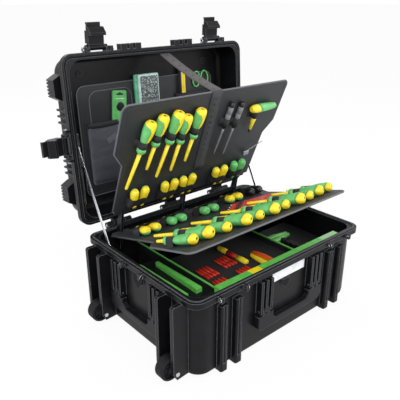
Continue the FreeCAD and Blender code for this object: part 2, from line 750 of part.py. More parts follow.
def carry_handle(half):
    """U-shaped carry handle folded down against a wall at y = 0."""
    out = (-HANDLE_PIVOT_OUT - HANDLE_THICK / 2, -HANDLE_PIVOT_OUT + HANDLE_THICK / 2)
    bar_low = HANDLE_PIVOT_Z - HANDLE_DROP - HANDLE_BAR_H / 2
    arm_half = FIN_PITCH + FIN_W / 2 + HANDLE_ARM_OVER
    reach = half + arm_half
    inner = half - arm_half
    shoulder = HANDLE_PIVOT_Z - HANDLE_EYE_R - WALL
    cut = HANDLE_CHAMFER
    points = [(-reach, shoulder), (-reach, bar_low + cut), (-reach + cut, bar_low), (reach - cut, bar_low),
              (reach, bar_low + cut), (reach, shoulder), (inner, shoulder),
              (inner, bar_low + HANDLE_BAR_H + cut),
              (inner - cut, bar_low + HANDLE_BAR_H), (-inner + cut, bar_low + HANDLE_BAR_H),
              (-inner, bar_low + HANDLE_BAR_H + cut), (-inner, shoulder)]
    body = prism([Vec(x, out[0], z) for x, z in points], Y_AXIS * HANDLE_THICK)
    front = [e for e in body.Edges if abs(e.BoundBox.YMax - out[0]) < RUN_FIT]
    body = body.makeFillet(HANDLE_EDGE_R, front)
    knuckle_w = FIN_PITCH - FIN_W - 2 * GAP
    knuckles = []
    holes = []
    for side in (-1, 1):
        for step in (-1, 1):
            x = around(side * half + step * FIN_PITCH / 2, knuckle_w)
            start = Vec(x[0], -HANDLE_PIVOT_OUT, HANDLE_PIVOT_Z)
            eye_r = min(HANDLE_EYE_R, HANDLE_THICK / 2)
            knuckles.append(Part.makeCylinder(eye_r, knuckle_w, start, X_AXIS))
            knuckles.append(block(x, around(-HANDLE_PIVOT_OUT, 2 * eye_r), (shoulder - WALL, HANDLE_PIVOT_Z)))
            holes.append(Part.makeCylinder(HANDLE_PIN_R + RUN_FIT, knuckle_w + 2 * OVERRUN,
                                           start - X_AXIS * OVERRUN, X_AXIS))
    return body.fuse(knuckles).cut(holes).removeSplitter()


def pivot_pins():
    """Pins of both carry handles and of both tool boards."""
    pins = []
    length = 2 * FIN_PITCH + FIN_W
    for side in (-1, 1):
        left = HANDLE_FRONT_X + side * HANDLE_FRONT_HALF - length / 2
        front = Vec(left, -WALL_Y - HANDLE_PIVOT_OUT, HANDLE_PIVOT_Z)
        pins.append(Part.makeCylinder(HANDLE_PIN_R, length, front, X_AXIS))
        end = Vec(-WALL_X - HANDLE_PIVOT_OUT, side * HANDLE_END_HALF - length / 2, HANDLE_PIVOT_Z)
        pins.append(Part.makeCylinder(HANDLE_PIN_R, length, end, Y_AXIS))
    half = POST_T / 2 + GAP + BOARD_EYE_L
    for y, z in ((UPPER_PIVOT_Y, UPPER_PIVOT_Z), (LOWER_PIVOT_Y, LOWER_PIVOT_Z)):
        for x in parts_of(BOARD_REAR_HALF, POST_SHARES):
            pins.append(rod(Vec(x - half, y, z), Vec(x + half, y, z), BOARD_PIN_R))
    return group(pins)


# Pull handle

def pull_bushes():
    """Guide bushes where the tubes leave the right wall."""
    bushes = []
    for side in (-1, 1):
        start = Vec(WALL_X - BUSH_T, side * TUBE_Y, TUBE_Z)
        bush = Part.makeCylinder(BUSH_R, BUSH_T, start, X_AXIS)
        bushes.append(bush.cut(Part.makeCylinder(TUBE_R + RUN_FIT, BUSH_T, start, X_AXIS)))
    return group(bushes)


def pull_tubes():
    """The two sliding tubes."""
    tubes = []
    length = TUBE_IN + GRIP_GAP
    for side in (-1, 1):
        start = Vec(WALL_X - TUBE_IN, side * TUBE_Y, TUBE_Z)
        tube = Part.makeCylinder(TUBE_R, length, start, X_AXIS)
        tubes.append(tube.cut(Part.makeCylinder(TUBE_R - TUBE_WALL, length, start, X_AXIS)))
    return group(tubes)


def pull_grip():
    """Grip bar on the tubes, with the button's pocket."""
    x = (WALL_X + GRIP_GAP, WALL_X + GRIP_GAP + GRIP_T)
    z = around(TUBE_Z, GRIP_H)
    bar = slab(x, (-GRIP_HALF, GRIP_HALF), z, GRIP_R)
    arms = []
    bores = []
    for side in (-1, 1):
        arms.append(block((WALL_X + BUSH_T, x[0] + GRIP_R), around(side * TUBE_Y, GRIP_ARM_W), z))
        start = Vec(WALL_X, side * TUBE_Y, TUBE_Z)
        bores.append(Part.makeCylinder(TUBE_R + RUN_FIT, GRIP_GAP, start, X_AXIS))
    pocket_deep = BUTTON_DEEP + BUTTON_TRAVEL + GAP
    pocket = block((x[1] - pocket_deep, x[1] + OVERRUN), around(0, BUTTON_L), around(TUBE_Z, BUTTON_H))
    return bar.fuse(arms).cut(bores + [pocket]).removeSplitter()


def pull_button():
    """Release button in the grip."""
    face = WALL_X + GRIP_GAP + GRIP_T
    y = around(0, BUTTON_L - 2 * GAP)
    z = around(TUBE_Z, BUTTON_H - 2 * GAP)
    return block((face - BUTTON_DEEP, face + BUTTON_PROUD), y, z)


# Lid, made closed and then turned open

def lid_hinge_ears():
    """Hinge barrels on the lid's rear rim."""
    ears = []
    for middle in parts_of(HALF_X, HINGE_SHARES):
        x = around(middle, LID_KNUCKLE_L)
        start = Vec(x[0], HINGE_Y, RIM_Z)
        barrel = Part.makeCylinder(KNUCKLE_R, LID_KNUCKLE_L, start, X_AXIS)
        web = block(x, (HALF_Y - WALL, HINGE_Y), (RIM_Z + GAP, RIM_Z + KNUCKLE_WEB))
        hole = Part.makeCylinder(HINGE_PIN_R + RUN_FIT, LID_KNUCKLE_L + 2 * OVERRUN,
                                 start - X_AXIS * OVERRUN, X_AXIS)
        ears.append(barrel.fuse(web).cut(hole))
    return ears


def latch_ears():
    """Ears of one latch on the lid rim, outwards along -Y from y = 0."""
    ears = []
    axis_z = RIM_Z + LATCH_PIVOT_UP
    for side in (-1, 1):
        low = LATCH_W / 2 + GAP
        x = (low, low + LATCH_EAR_T) if side > 0 else (-low - LATCH_EAR_T, -low)
        body = block(x, (-LATCH_PIVOT_OUT, WALL_INSET_Y), (RIM_Z + WALL, RIM_Z + LATCH_EAR_UP))
        eye = Part.makeCylinder(LATCH_EYE_R, LATCH_EAR_T, Vec(x[0], -LATCH_PIVOT_OUT, axis_z), X_AXIS)
        pin_hole = Part.makeCylinder(LATCH_PIN_R, LATCH_EAR_T + 2 * OVERRUN,
                                     Vec(x[0] - OVERRUN, -LATCH_PIVOT_OUT, axis_z), X_AXIS)
        ears.append(body.fuse(eye).cut(pin_hole))
        pad_x = around(side * RING_X, LATCH_EAR_T)
        pad = block(pad_x, (-PAD_OUT, WALL_INSET_Y), (RIM_Z + GAP, RIM_Z + RIM_THICK))
        pad_hole = Part.makeCylinder(RING_HOLE_R, LATCH_EAR_T + 2 * OVERRUN,
                                     Vec(pad_x[0] - OVERRUN, -PAD_OUT / 2, RIM_Z + RIM_THICK / 2), X_AXIS)
        ears.append(pad.cut(pad_hole))
    return ears


def at_latches(shapes):
    """Copies of a latch piece at its four places on the closed case, front pair first."""
    copies = []
    for shape in shapes:
        for side in (-1, 1):
            copies.append(shape.translated(Vec(side * FRONT_LATCH_X, -HALF_Y, 0)))
        for side in (-1, 1):
            copies.append(to_end(shape, side).translated(Vec(side * HALF_X, 0, 0)))
    return copies


def front_lug():
    """Slotted lug on the lid's front rim."""
    lug = block(around(0, LUG_W), (-LUG_OUT, WALL_INSET_Y), (RIM_Z + GAP, RIM_Z + LUG_H))
    slots = []
    for side in (-1, 1):
        x = around(side * LUG_SLOT_PITCH / 2, LUG_SLOT_W)
        slots.append(block(x, (-LUG_OUT - OVERRUN, -LUG_OUT + LUG_SLOT_DEEP),
                           (RIM_Z - OVERRUN, RIM_Z + LUG_H + OVERRUN)))
    return lug.cut(slots)


def bumper():
    """Grooved corner bumper on a lid end, outwards along -Y from the wall at y = 0."""
    half = BUMPER_L / 2
    low = LID_TOP_Z - BUMPER_H
    points = [Vec(-half, 0, low), Vec(-half + BUMPER_TAPER, -BUMPER_OUT, low),
              Vec(half - BUMPER_TAPER, -BUMPER_OUT, low), Vec(half, 0, low), Vec(half, WALL, low),
              Vec(-half, WALL, low)]
    body = prism(points, Z_AXIS * (BUMPER_H - EDGE_R / 2))
    flat = BUMPER_L - 2 * BUMPER_TAPER
    pitch = flat / BUMPER_GROOVES
    grooves = []
    for index in range(BUMPER_GROOVES):
        middle = -flat / 2 + (index + 1 / 2) * pitch
        grooves.append(block(around(middle, BUMPER_GROOVE_W),
                             (-BUMPER_OUT - OVERRUN, -BUMPER_OUT + BUMPER_GROOVE_DEEP),
                             (low + BUMPER_TAPER / 2, LID_TOP_Z)))
    return body.cut(grooves)


def lid_shell():
    """Moulded lid with rim, ears, lugs, bumpers, ribs and inner bosses."""
    outer = slab((-WALL_X, WALL_X), (-WALL_Y, WALL_Y), (RIM_Z + GAP, LID_TOP_Z), WALL_CORNER_R)
    outer = outer.makeFillet(EDGE_R, edges_at(outer, LID_TOP_Z))
    rim = slab((-HALF_X, HALF_X), (-HALF_Y, HALF_Y), (RIM_Z + GAP, RIM_Z + RIM_THICK), RIM_CORNER_R)
    added = [rim] + lid_hinge_ears() + at_latches(latch_ears())
    for side in (-1, 1):
        added.append(front_lug().translated(Vec(side * LUG_X - LUG_SHIFT, -HALF_Y, 0)))
        for along in (-1, 1):
            added.append(to_end(bumper(), side).translated(Vec(side * WALL_X, along * BUMPER_Y, 0)))
            for y in parts_of(WALL_Y, SMALL_RIB_SHARES):
                small = block(around(0, SMALL_RIB_W), (-SMALL_RIB_OUT, WALL),
                              (RIM_Z + RIM_THICK - WALL, LID_TOP_Z - EDGE_R))
                added.append(to_end(small, side).translated(Vec(side * WALL_X, along * y, 0)))
    for index in range(LID_RIBS):
        middle = (index - (LID_RIBS - 1) / 2) * LID_RIB_PITCH
        rib_y = (-WALL_Y + LID_RIB_MARGIN, WALL_Y - LID_RIB_MARGIN)
        added.append(slab(around(middle, LID_RIB_W), rib_y, (LID_TOP_Z - WALL / 2, LID_TOP_Z + LID_RIB_H),
                          LID_RIB_W / 3))
    shell = outer.fuse(added)
    cavity = slab((-IN_X, IN_X), (-IN_Y, IN_Y), (RIM_Z - OVERRUN, LID_IN_Z), IN_CORNER_R)
    cavity = cavity.makeFillet(EDGE_R - WALL, edges_at(cavity, LID_IN_Z))
    inset = TONGUE_INSET - (GROOVE_W - TONGUE_W) / 2
    groove = loop(HALF_X - inset, HALF_Y - inset, RIM_CORNER_R - inset,
                  (RIM_Z - OVERRUN, RIM_Z + GROOVE_H), GROOVE_W)
    shell = shell.cut([cavity, groove])
    bosses = []
    for side in (-1, 1):
        place = Vec(side * BOSS_X, lid_y(BOSS_FROM_HINGE), LID_IN_Z - BOSS_H)
        boss = Part.makeCylinder(BOSS_R, BOSS_H + WALL / 2, place, Z_AXIS)
        bosses.append(boss.cut(Part.makeCylinder(BOSS_HOLE_R, BOSS_H, place, Z_AXIS)))
    return opened(shell.fuse(bosses).removeSplitter())


def lid_seal():
    """Rubber seal at the bottom of the lid's groove."""
    inset = TONGUE_INSET - (GROOVE_W - TONGUE_W) / 2 + SEAT_GAP
    width = GROOVE_W - 2 * SEAT_GAP
    top = RIM_Z + GROOVE_H
    return opened(loop(HALF_X - inset, HALF_Y - inset, RIM_CORNER_R - inset, (top - SEAL_H, top), width))


def padlock_rings_lid():
    """Rings on the lid's padlock lugs."""
    return opened(group(at_latches(padlock_rings(-PAD_OUT / 2, RIM_Z + RIM_THICK / 2))))


def latch_pins():
    """Pivot pins of the four latches."""
    half = LATCH_W / 2 + GAP + LATCH_EAR_T
    axis_z = RIM_Z + LATCH_PIVOT_UP
    pin = rod(Vec(-half, -LATCH_PIVOT_OUT, axis_z), Vec(half, -LATCH_PIVOT_OUT, axis_z), LATCH_PIN_R)
    return opened(group(at_latches([pin])))


def latch_body():
    """Latch plate hanging shut from its pivot over a rim face at y = 0, hook under the base rim."""
    axis = Vec(-LATCH_W / 2, -LATCH_PIVOT_OUT, RIM_Z + LATCH_PIVOT_UP)
    eye = Part.makeCylinder(LATCH_EYE_R, LATCH_W, axis, X_AXIS)
    low = axis.z - LATCH_REACH
    outer = -LATCH_PIVOT_OUT - LATCH_EYE_R
    plate = block(around(0, LATCH_W), (outer, outer + LATCH_T), (low, axis.z))
    hook_top = RIM_LOW_Z - LATCH_HOOK_GAP
    hook_x = around(0, LATCH_W)
    start = hook_x[0]
    hook = prism([Vec(start, outer, low), Vec(start, outer + LATCH_T, low),
                  Vec(start, LATCH_HOOK_IN, hook_top - LATCH_HOOK_T), Vec(start, LATCH_HOOK_IN, hook_top),
                  Vec(start, outer, hook_top)], X_AXIS * LATCH_W)
    cheeks = []
    cheek_top = axis.z - LEVER_PIVOT_DOWN + LEVER_EYE_R + WALL
    for side in (-1, 1):
        x = around(side * (LATCH_W / 2 - CHEEK_T / 2), CHEEK_T)
        cheeks.append(block(x, (outer - CHEEK_OUT, outer + WALL), (low + LATCH_T, cheek_top)))
    body = eye.fuse([plate, hook] + cheeks)
    pin_hole = Part.makeCylinder(LATCH_PIN_R + RUN_FIT, LATCH_W + 2 * OVERRUN,
                                 axis - X_AXIS * OVERRUN, X_AXIS)
    lever_hole = Part.makeCylinder(LEVER_PIN_R + RUN_FIT, LATCH_W + 2 * OVERRUN,
                                   lever_axis() - X_AXIS * (LATCH_W / 2 + OVERRUN), X_AXIS)
    return body.cut([pin_hole, lever_hole]).removeSplitter()


def lever_axis():
    """Middle of the lever's pivot on the shut latch."""
    outer = -LATCH_PIVOT_OUT - LATCH_EYE_R
    return Vec(0, outer - LEVER_EYE_R - GAP, RIM_Z + LATCH_PIVOT_UP - LEVER_PIVOT_DOWN)


def latch_lever():
    """Release lever lying on the shut latch plate, its trunnions in the cheeks."""
    axis = lever_axis()
    width = LATCH_W - 2 * (CHEEK_T + GAP)
    back = -LATCH_PIVOT_OUT - LATCH_EYE_R - GAP
    eye = Part.makeCylinder(LEVER_EYE_R, width, axis - X_AXIS * (width / 2), X_AXIS)
    plate = block(around(0, width), (back - LEVER_T, back), (axis.z - LEVER_LEN, axis.z))
    tip = axis.z - LEVER_LEN
    lip = block(around(0, width), (back - LEVER_LIP, back), (tip, tip + LEVER_LIP_T))
    trunnion_l = LATCH_W - GAP
    trunnion = Part.makeCylinder(LEVER_PIN_R, trunnion_l, axis - X_AXIS * (trunnion_l / 2), X_AXIS)
    return eye.fuse([plate, lip, trunnion]).removeSplitter()


def thrown(shape):
    """A shut latch piece swung to its open place on the lid rim."""
    axis = Vec(0, -LATCH_PIVOT_OUT, RIM_Z + LATCH_PIVOT_UP)
    return shape.rotated(axis, X_AXIS, -LATCH_OPEN_DEG)


def stay_rails():
    """Slotted stay rails on the lid's end walls, each with a flange that faces the lid's mouth."""
    y = (lid_y(RAIL_TO), lid_y(RAIL_FROM))
    z = (RIM_Z + WALL, RIM_Z + WALL + RAIL_W)
    deep = z[1] + RAIL_FLANGE_GAP
    rail = block((IN_X - RAIL_T, IN_X), y, (z[0], deep))
    rail = rail.fuse(block((IN_X - RAIL_FLANGE_W, IN_X), y, (deep - RAIL_T, deep))).removeSplitter()
    middle = (z[0] + z[1]) / 2
    slot_x = (IN_X - RAIL_T - OVERRUN, IN_X + OVERRUN)
    slot = block(slot_x, (y[0] + RAIL_W, y[1] - RAIL_W), around(middle, RAIL_SLOT_W))
    rail = rail.cut(slot)
    return opened(group([rail, mirrored_x(rail)]))


def lining(x_shares, run_shares, top_z, thick, radius):
    """Flat rounded piece against the lid's top, given in shares across the lid and along its run."""
    near, far = parts_of(LID_RUN, run_shares)
    return slab(parts_of(IN_X, x_shares), (lid_y(far), lid_y(near)), (top_z - thick, top_z), radius)


def lid_panel():
    """Lining panel that carries the pockets."""
    return opened(lining(PANEL_X_SHARES, PANEL_RUN_SHARES, LID_IN_Z, PANEL_T, PANEL_R))


def lid_pockets():
    """Sewn pockets on the lining panel."""
    top = LID_IN_Z - PANEL_T
    return opened(group([lining(x, run, top, POCKET_T, POCKET_R) for x, run in POCKET_SHARES]))


def tester():
    """Flat green hanging tool above the first pocket."""
    top = LID_IN_Z - PANEL_T - GAP
    body = lining(TESTER_X_SHARES, TESTER_RUN_SHARES, top, TESTER_T, TESTER_R)
    middle = sum(parts_of(IN_X, TESTER_X_SHARES)) / 2
    far = LID_RUN * TESTER_RUN_SHARES[1]
    hole = Vec(middle, lid_y(far) + TESTER_R + TESTER_HOLE_R, top - TESTER_T)
    return opened(body.cut(Part.makeCylinder(TESTER_HOLE_R, TESTER_T, hole, Z_AXIS)))


def bit_box():
    """Rounded plastic bit box standing out of the middle pocket."""
    top = LID_IN_Z - PANEL_T - GAP
    return opened(lining(BIT_BOX_X_SHARES, BIT_BOX_RUN_SHARES, top, BIT_BOX_T, BIT_BOX_R))


def folding_rule():
    """Folded rule: leaves side by side, standing out of the right pocket."""
    top = LID_IN_Z - PANEL_T - GAP
    leaves = []
    pitch = RULE_LEAF_T + SEAT_GAP
    near, far = parts_of(LID_RUN, RULE_RUN_SHARES)
    for index in range(RULE_LEAVES):
        x0 = IN_X * RULE_X_SHARE + index * pitch
        leaves.append(block((x0, x0 + RULE_LEAF_T), (lid_y(far), lid_y(near)), (top - RULE_T, top)))
    return opened(group(leaves))


def scissors():
    """Ring handles of a pair of scissors standing out of the right pocket."""
    z = LID_IN_Z - PANEL_T - GAP - SCISSOR_WIRE_R
    low = LID_RUN * POCKET_SHARES[-1][1][1] + GAP
    rings = []
    for x in parts_of(IN_X, SCISSOR_X_SHARES):
        middle = lid_y(LID_RUN * SCISSOR_RUN_SHARE + SCISSOR_SHANK)
        wire = 2 * SCISSOR_WIRE_R
        deep = around(z, wire)
        ring = slab(around(x, 2 * SCISSOR_RING_R), around(middle, SCISSOR_RING_L), deep, SCISSOR_RING_R - GAP)
        eye = slab(around(x, 2 * (SCISSOR_RING_R - wire)), around(middle, SCISSOR_RING_L - 2 * wire),
                   (deep[0] - OVERRUN, deep[1] + OVERRUN), SCISSOR_RING_R - wire - GAP)
        ring = ring.cut(eye)
        top = lid_y(low)
        shank = block(around(x, SCISSOR_SHANK), (middle + SCISSOR_RING_L / 2 - wire, top), deep)
        rings.append(ring.fuse(shank).removeSplitter())
    return opened(group(rings))


# Lid stays on the base

def stay_x():
    """Inner face of a stay arm on the +X side."""
    return IN_X - RAIL_T - STAY_SIDE_GAP - STAY_ARM_T


def stay_reach():
    """Length of an arm and its lean in degrees, from its pivot to its place at the lid's rail."""
    hold = Part.Vertex(Vec(0, lid_y(STAY_HOLD_FROM), RIM_Z + WALL + RAIL_W / 2))
    run = opened(hold).Point.sub(Vec(0, STAY_Y, STAY_Z))
    return run.Length, math.degrees(math.atan2(run.y, run.z))


def stay_arms():
    """The pair of arms, leaning back from their pivots."""
    half = STAY_ARM_W / 2
    x0 = stay_x()
    length, lean = stay_reach()
    bar = block((x0, x0 + STAY_ARM_T), (STAY_Y - half, STAY_Y + half), (STAY_Z, STAY_Z + length))
    ends = []
    for z in (STAY_Z, STAY_Z + length):
        ends.append(Part.makeCylinder(half, STAY_ARM_T, Vec(x0, STAY_Y, z), X_AXIS))
    arm = bar.fuse(ends)
    bore = Part.makeCylinder(STAY_PIN_R + RUN_FIT, STAY_ARM_T + 2 * OVERRUN,
                             Vec(x0 - OVERRUN, STAY_Y, STAY_Z), X_AXIS)
    eye = Part.makeCylinder(STAY_PIN_R, STAY_ARM_T + 2 * OVERRUN,
                            Vec(x0 - OVERRUN, STAY_Y, STAY_Z + length), X_AXIS)
    arm = arm.cut([bore, eye]).removeSplitter()
    arm = arm.rotated(Vec(0, STAY_Y, STAY_Z), X_AXIS, -lean)
    return group([arm, mirrored_x(arm)])


def stay_plates():
    """Steel strips inside the base's end walls with the arms' pivot pins."""
    x0 = IN_X - STAY_STRIP_T
    half = STAY_STRIP_W / 2
    strip = block((x0, IN_X), (STAY_Y + half - STAY_STRIP_L, STAY_Y + half), around(STAY_Z, STAY_STRIP_W))
    low = stay_x() - STAY_PIN_R
    pin = Part.makeCylinder(STAY_PIN_R, x0 - low + STAY_STRIP_T / 2, Vec(low, STAY_Y, STAY_Z), X_AXIS)
    head_l = STAY_PIN_R - GAP
    head = Part.makeCylinder(2 * STAY_PIN_R, head_l, Vec(low, STAY_Y, STAY_Z), X_AXIS)
    washer_x = stay_x() + STAY_ARM_T + GAP
    spacer = Part.makeCylinder(2 * STAY_PIN_R, x0 - washer_x, Vec(washer_x, STAY_Y, STAY_Z), X_AXIS)
    plate = strip.fuse([pin, head, spacer]).removeSplitter()
    return group([plate, mirrored_x(plate)])


# Tool boards, made flat in their own frame: X across, -Y up the board, +Z towards the tools

def board_outline(length, low, high):
    """Flat board, narrower towards its hinge up to a step, with its hinge line at y = 0."""
    front = BOARD_HALF
    rear = BOARD_REAR_HALF
    points = [(-rear, -BOARD_START), (rear, -BOARD_START), (rear, -low), (front, -high),
              (front, -length + BOARD_R), (front - BOARD_R, -length), (-front + BOARD_R, -length),
              (-front, -length + BOARD_R), (-front, -high), (-rear, -low)]
    slack = BOARD_R * (1 - math.sqrt(1 / 2))
    edges = []
    for index, (x, y) in enumerate(points):
        nx, ny = points[(index + 1) % len(points)]
        start = Vec(x, y, -BOARD_T)
        end = Vec(nx, ny, -BOARD_T)
        if index in (4, 6):
            side = 1 if index == 4 else -1
            middle = Vec(side * (front - slack), -length + slack, -BOARD_T)
            edges.append(Part.Arc(start, middle, end).toShape())
        else:
            edges.append(Part.makeLine(start, end))
    return Part.Face(Part.Wire(edges)).extrude(Z_AXIS * BOARD_T)


def board(length, low, high, axis_z):
    """Board with hinge eyes on each side of every post."""
    panel = board_outline(length, low, high)
    eyes = []
    holes = []
    for x in parts_of(BOARD_REAR_HALF, POST_SHARES):
        for side in (-1, 1):
            middle = x + side * (POST_T / 2 + GAP + BOARD_EYE_L / 2)
            span = around(middle, BOARD_EYE_L)
            start = Vec(span[0], 0, axis_z)
            eyes.append(Part.makeCylinder(BOARD_EYE_R, BOARD_EYE_L, start, X_AXIS))
            web_z = (axis_z - BOARD_EYE_R / 2, max(axis_z + BOARD_EYE_R / 2, -BOARD_T / 2))
            eyes.append(block(span, (-BOARD_START - WALL, 0), web_z))
            holes.append(Part.makeCylinder(BOARD_PIN_R + RUN_FIT, BOARD_EYE_L + 2 * OVERRUN,
                                           start - X_AXIS * OVERRUN, X_AXIS))
    return panel.fuse(eyes).cut(holes).removeSplitter()


def on_upper(shape):
    """Board-frame piece placed on the upper board, tilted as it stands open."""
    flat = shape.rotated(ORIGIN, Y_AXIS, 180).translated(Vec(0, UPPER_PIVOT_Y, UPPER_FACE_Z))
    return flat.rotated(Vec(0, UPPER_PIVOT_Y, UPPER_PIVOT_Z), X_AXIS, -UPPER_TILT_DEG)


def on_lower(shape):
    """Board-frame piece placed on the lower board, tilted as it stands open."""
    flat = shape.translated(Vec(0, LOWER_PIVOT_Y, LOWER_FACE_Z))
    return flat.rotated(Vec(0, LOWER_PIVOT_Y, LOWER_PIVOT_Z), X_AXIS, -LOWER_TILT_DEG)


def board_posts():
    """Brackets on the rear wall that carry both boards' hinge pins."""
    eye = BOARD_EYE_R + WALL / 2
    posts = []
    for middle in parts_of(BOARD_REAR_HALF, POST_SHARES):
        x = around(middle, POST_T)
        start = x[0]
        points = [Vec(start, IN_Y, POST_FOOT_Z), Vec(start, IN_Y, LOWER_PIVOT_Z + eye),
                  Vec(start, UPPER_PIVOT_Y + eye, UPPER_PIVOT_Z),
                  Vec(start, UPPER_PIVOT_Y - eye, UPPER_PIVOT_Z),
                  Vec(start, LOWER_PIVOT_Y - eye, LOWER_PIVOT_Z),
                  Vec(start, LOWER_PIVOT_Y, POST_FOOT_Z + eye)]
        post = prism(points, X_AXIS * POST_T)
        ends = []
        holes = []
        for y, z in ((UPPER_PIVOT_Y, UPPER_PIVOT_Z), (LOWER_PIVOT_Y, LOWER_PIVOT_Z)):
            ends.append(Part.makeCylinder(eye, POST_T, Vec(start, y, z), X_AXIS))
            holes.append(Part.makeCylinder(BOARD_PIN_R, POST_T, Vec(start, y, z), X_AXIS))
        posts.append(post.fuse(ends).cut(holes).removeSplitter())
    return group(posts)


def board_flap():
    """Leatherette strips between the posts, below the upper board."""
    run = math.radians(UPPER_TILT_DEG)
    strips = []
    spans = parts_of(BOARD_REAR_HALF, POST_SHARES)
    eye = BOARD_EYE_R + WALL / 2
    front = UPPER_PIVOT_Y - eye
    for left, right in zip(spans[:-1], spans[1:]):
        x = (left + POST_T / 2 + SEAT_GAP, right - POST_T / 2 - SEAT_GAP)
        top = UPPER_PIVOT_Z - FLAP_TOP
        low = Vec(x[0], front + FLAP_LOW * math.cos(run), top - FLAP_LOW * math.sin(run))
        high = Vec(x[0], front + FLAP_TOP * math.cos(run), top - FLAP_TOP * math.sin(run))
        back = Vec(0, FLAP_T, 0)
        strips.append(prism([low, high, high + back, low + back], X_AXIS * (x[1] - x[0])))
    return group(strips)


# Tools, made along +Y from the butt, in the board frame

def turned(profile, smooth=True):
    """Solid of revolution about the Y axis from (along, radius) pairs, smooth or straight along its side."""
    points = [Vec(radius, along, 0) for along, radius in profile]
    if smooth:
        curve = Part.BSplineCurve()
        curve.interpolate(points)
        side = [curve.toShape()]
    else:
        side = [Part.makeLine(a, b) for a, b in zip(points[:-1], points[1:])]
    start = Vec(0, profile[0][0], 0)
    end = Vec(0, profile[-1][0], 0)
    ends = [Part.makeLine(points[-1], end), Part.makeLine(end, start)]
    edges = [Part.makeLine(start, points[0])] + side + ends
    return Part.Face(Part.Wire(edges)).revolve(ORIGIN, Y_AXIS, 360)


def driver(radius, length, blade_l, blade_r):
    """Screwdriver along +Y: the grip, and the core with butt and insulated blade."""
    cut = GRIP_FROM_SHARE
    butt = [(s * length, r * radius) for s, r in HANDLE_SHARES if s <= cut]
    sleeve = [(s * length, r * radius) for s, r in HANDLE_SHARES if s >= cut]
    cap = turned(butt)
    cap = cap.cut(Part.makeCylinder(CAP_HOLE_R, CAP_HOLE_DEEP, ORIGIN, Y_AXIS))
    grip = turned(sleeve)
    bore = Part.makeCylinder(blade_r + RUN_FIT, length, ORIGIN, Y_AXIS)
    grip = grip.cut(bore)
    start = Vec(0, cut * length, 0)
    shaft_l = (1 - cut) * length + blade_l - BLADE_TIP_L
    shaft = Part.makeCylinder(blade_r, shaft_l, start, Y_AXIS)
    tip = Part.makeCylinder(BLADE_TIP_R, BLADE_TIP_L, start + Y_AXIS * shaft_l, Y_AXIS)
    core = cap.fuse([shaft, tip]).removeSplitter()
    wide = FreeCAD.Matrix()
    wide.A11 = HANDLE_WIDE_SHARE
    return grip.transformGeometry(wide), core.transformGeometry(wide)


def laid(shape, x, up_board, height, slant):
    """A tool turned by its slant and laid on a board, butt at a place across and up the board."""
    return shape.rotated(ORIGIN, Z_AXIS, slant).translated(Vec(x, -up_board, height))


def saddle(radius, height):
    """Elastic loop over a round tool whose axis lies at a height above the board, at y = 0."""
    inner = radius + GAP
    outer = inner + SADDLE_T
    foot = outer + SADDLE_FOOT
    y0 = -SADDLE_W / 2
    left = [(-inner, height), (-inner, 0), (-foot, 0), (-foot, SADDLE_T), (-outer, SADDLE_T),
            (-outer, height)]
    right = [(-x, z) for x, z in reversed(left)]
    edges = []
    for path in (left, right):
        for (xa, za), (xb, zb) in zip(path[:-1], path[1:]):
            edges.append(Part.makeLine(Vec(xa, y0, za), Vec(xb, y0, zb)))
    for reach in (inner, outer):
        top = Vec(0, y0, height + reach)
        edges.append(Part.Arc(Vec(-reach, y0, height), top, Vec(reach, y0, height)).toShape())
    face = Part.Face(Part.Wire(Part.__sortEdges__(edges)))
    return face.extrude(Y_AXIS * SADDLE_W)


def upper_tools():
    """Grips, cores and loops of the upper board's screwdrivers."""
    grips, cores, loops = [], [], []
    for (across, butt_share, end_share, size), slant in zip(UPPER_DRIVER_SHARES, UPPER_SLANT_DEG):
        x = BOARD_HALF * across
        butt, end = parts_of(UPPER_LEN, (butt_share, end_share))
        radius = UPPER_HANDLE_R * size
        length = UPPER_HANDLE_L * size
        height = radius + GAP
        blade_l = (butt - end) / math.cos(math.radians(slant)) - length
        grip, core = driver(radius, length, blade_l, BLADE_R)
        grips.append(on_upper(laid(grip, -x, butt, height, -slant)))
        cores.append(on_upper(laid(core, -x, butt, height, -slant)))
        hold = saddle(BLADE_R * HANDLE_WIDE_SHARE, height).translated(Y_AXIS * (length + SADDLE_W))
        loops.append(on_upper(laid(hold, -x, butt, 0, -slant)))
    lie = SIDE_GRIP_R + GAP
    split = SIDE_GRIP_L * GRIP_FROM_SHARE
    body = turned([(s * SIDE_GRIP_L, r * SIDE_GRIP_R) for s, r in HANDLE_SHARES])
    wide = (-2 * SIDE_GRIP_R, 2 * SIDE_GRIP_R)
    half = block(wide, (-SIDE_GRIP_L, split), wide)
    blade = Part.makeCylinder(BLADE_R, SIDE_BLADE_L, Vec(0, SIDE_BLADE_AT, 0), X_AXIS)
    turn = 90
    core = body.common(half).fuse(blade).removeSplitter()
    grip = body.cut(half)
    for piece, rack in ((core, cores), (grip, grips)):
        rack.append(on_upper(laid(piece, -SIDE_GRIP_X, SIDE_GRIP_S, lie, turn)))
    hold = saddle(BLADE_R, lie)
    across = SIDE_GRIP_X + SIDE_BLADE_AT
    reach = SIDE_GRIP_S - SIDE_BLADE_L / 2
    loops.append(on_upper(laid(hold, -across, reach, 0, 0)))
    return grips, cores, loops


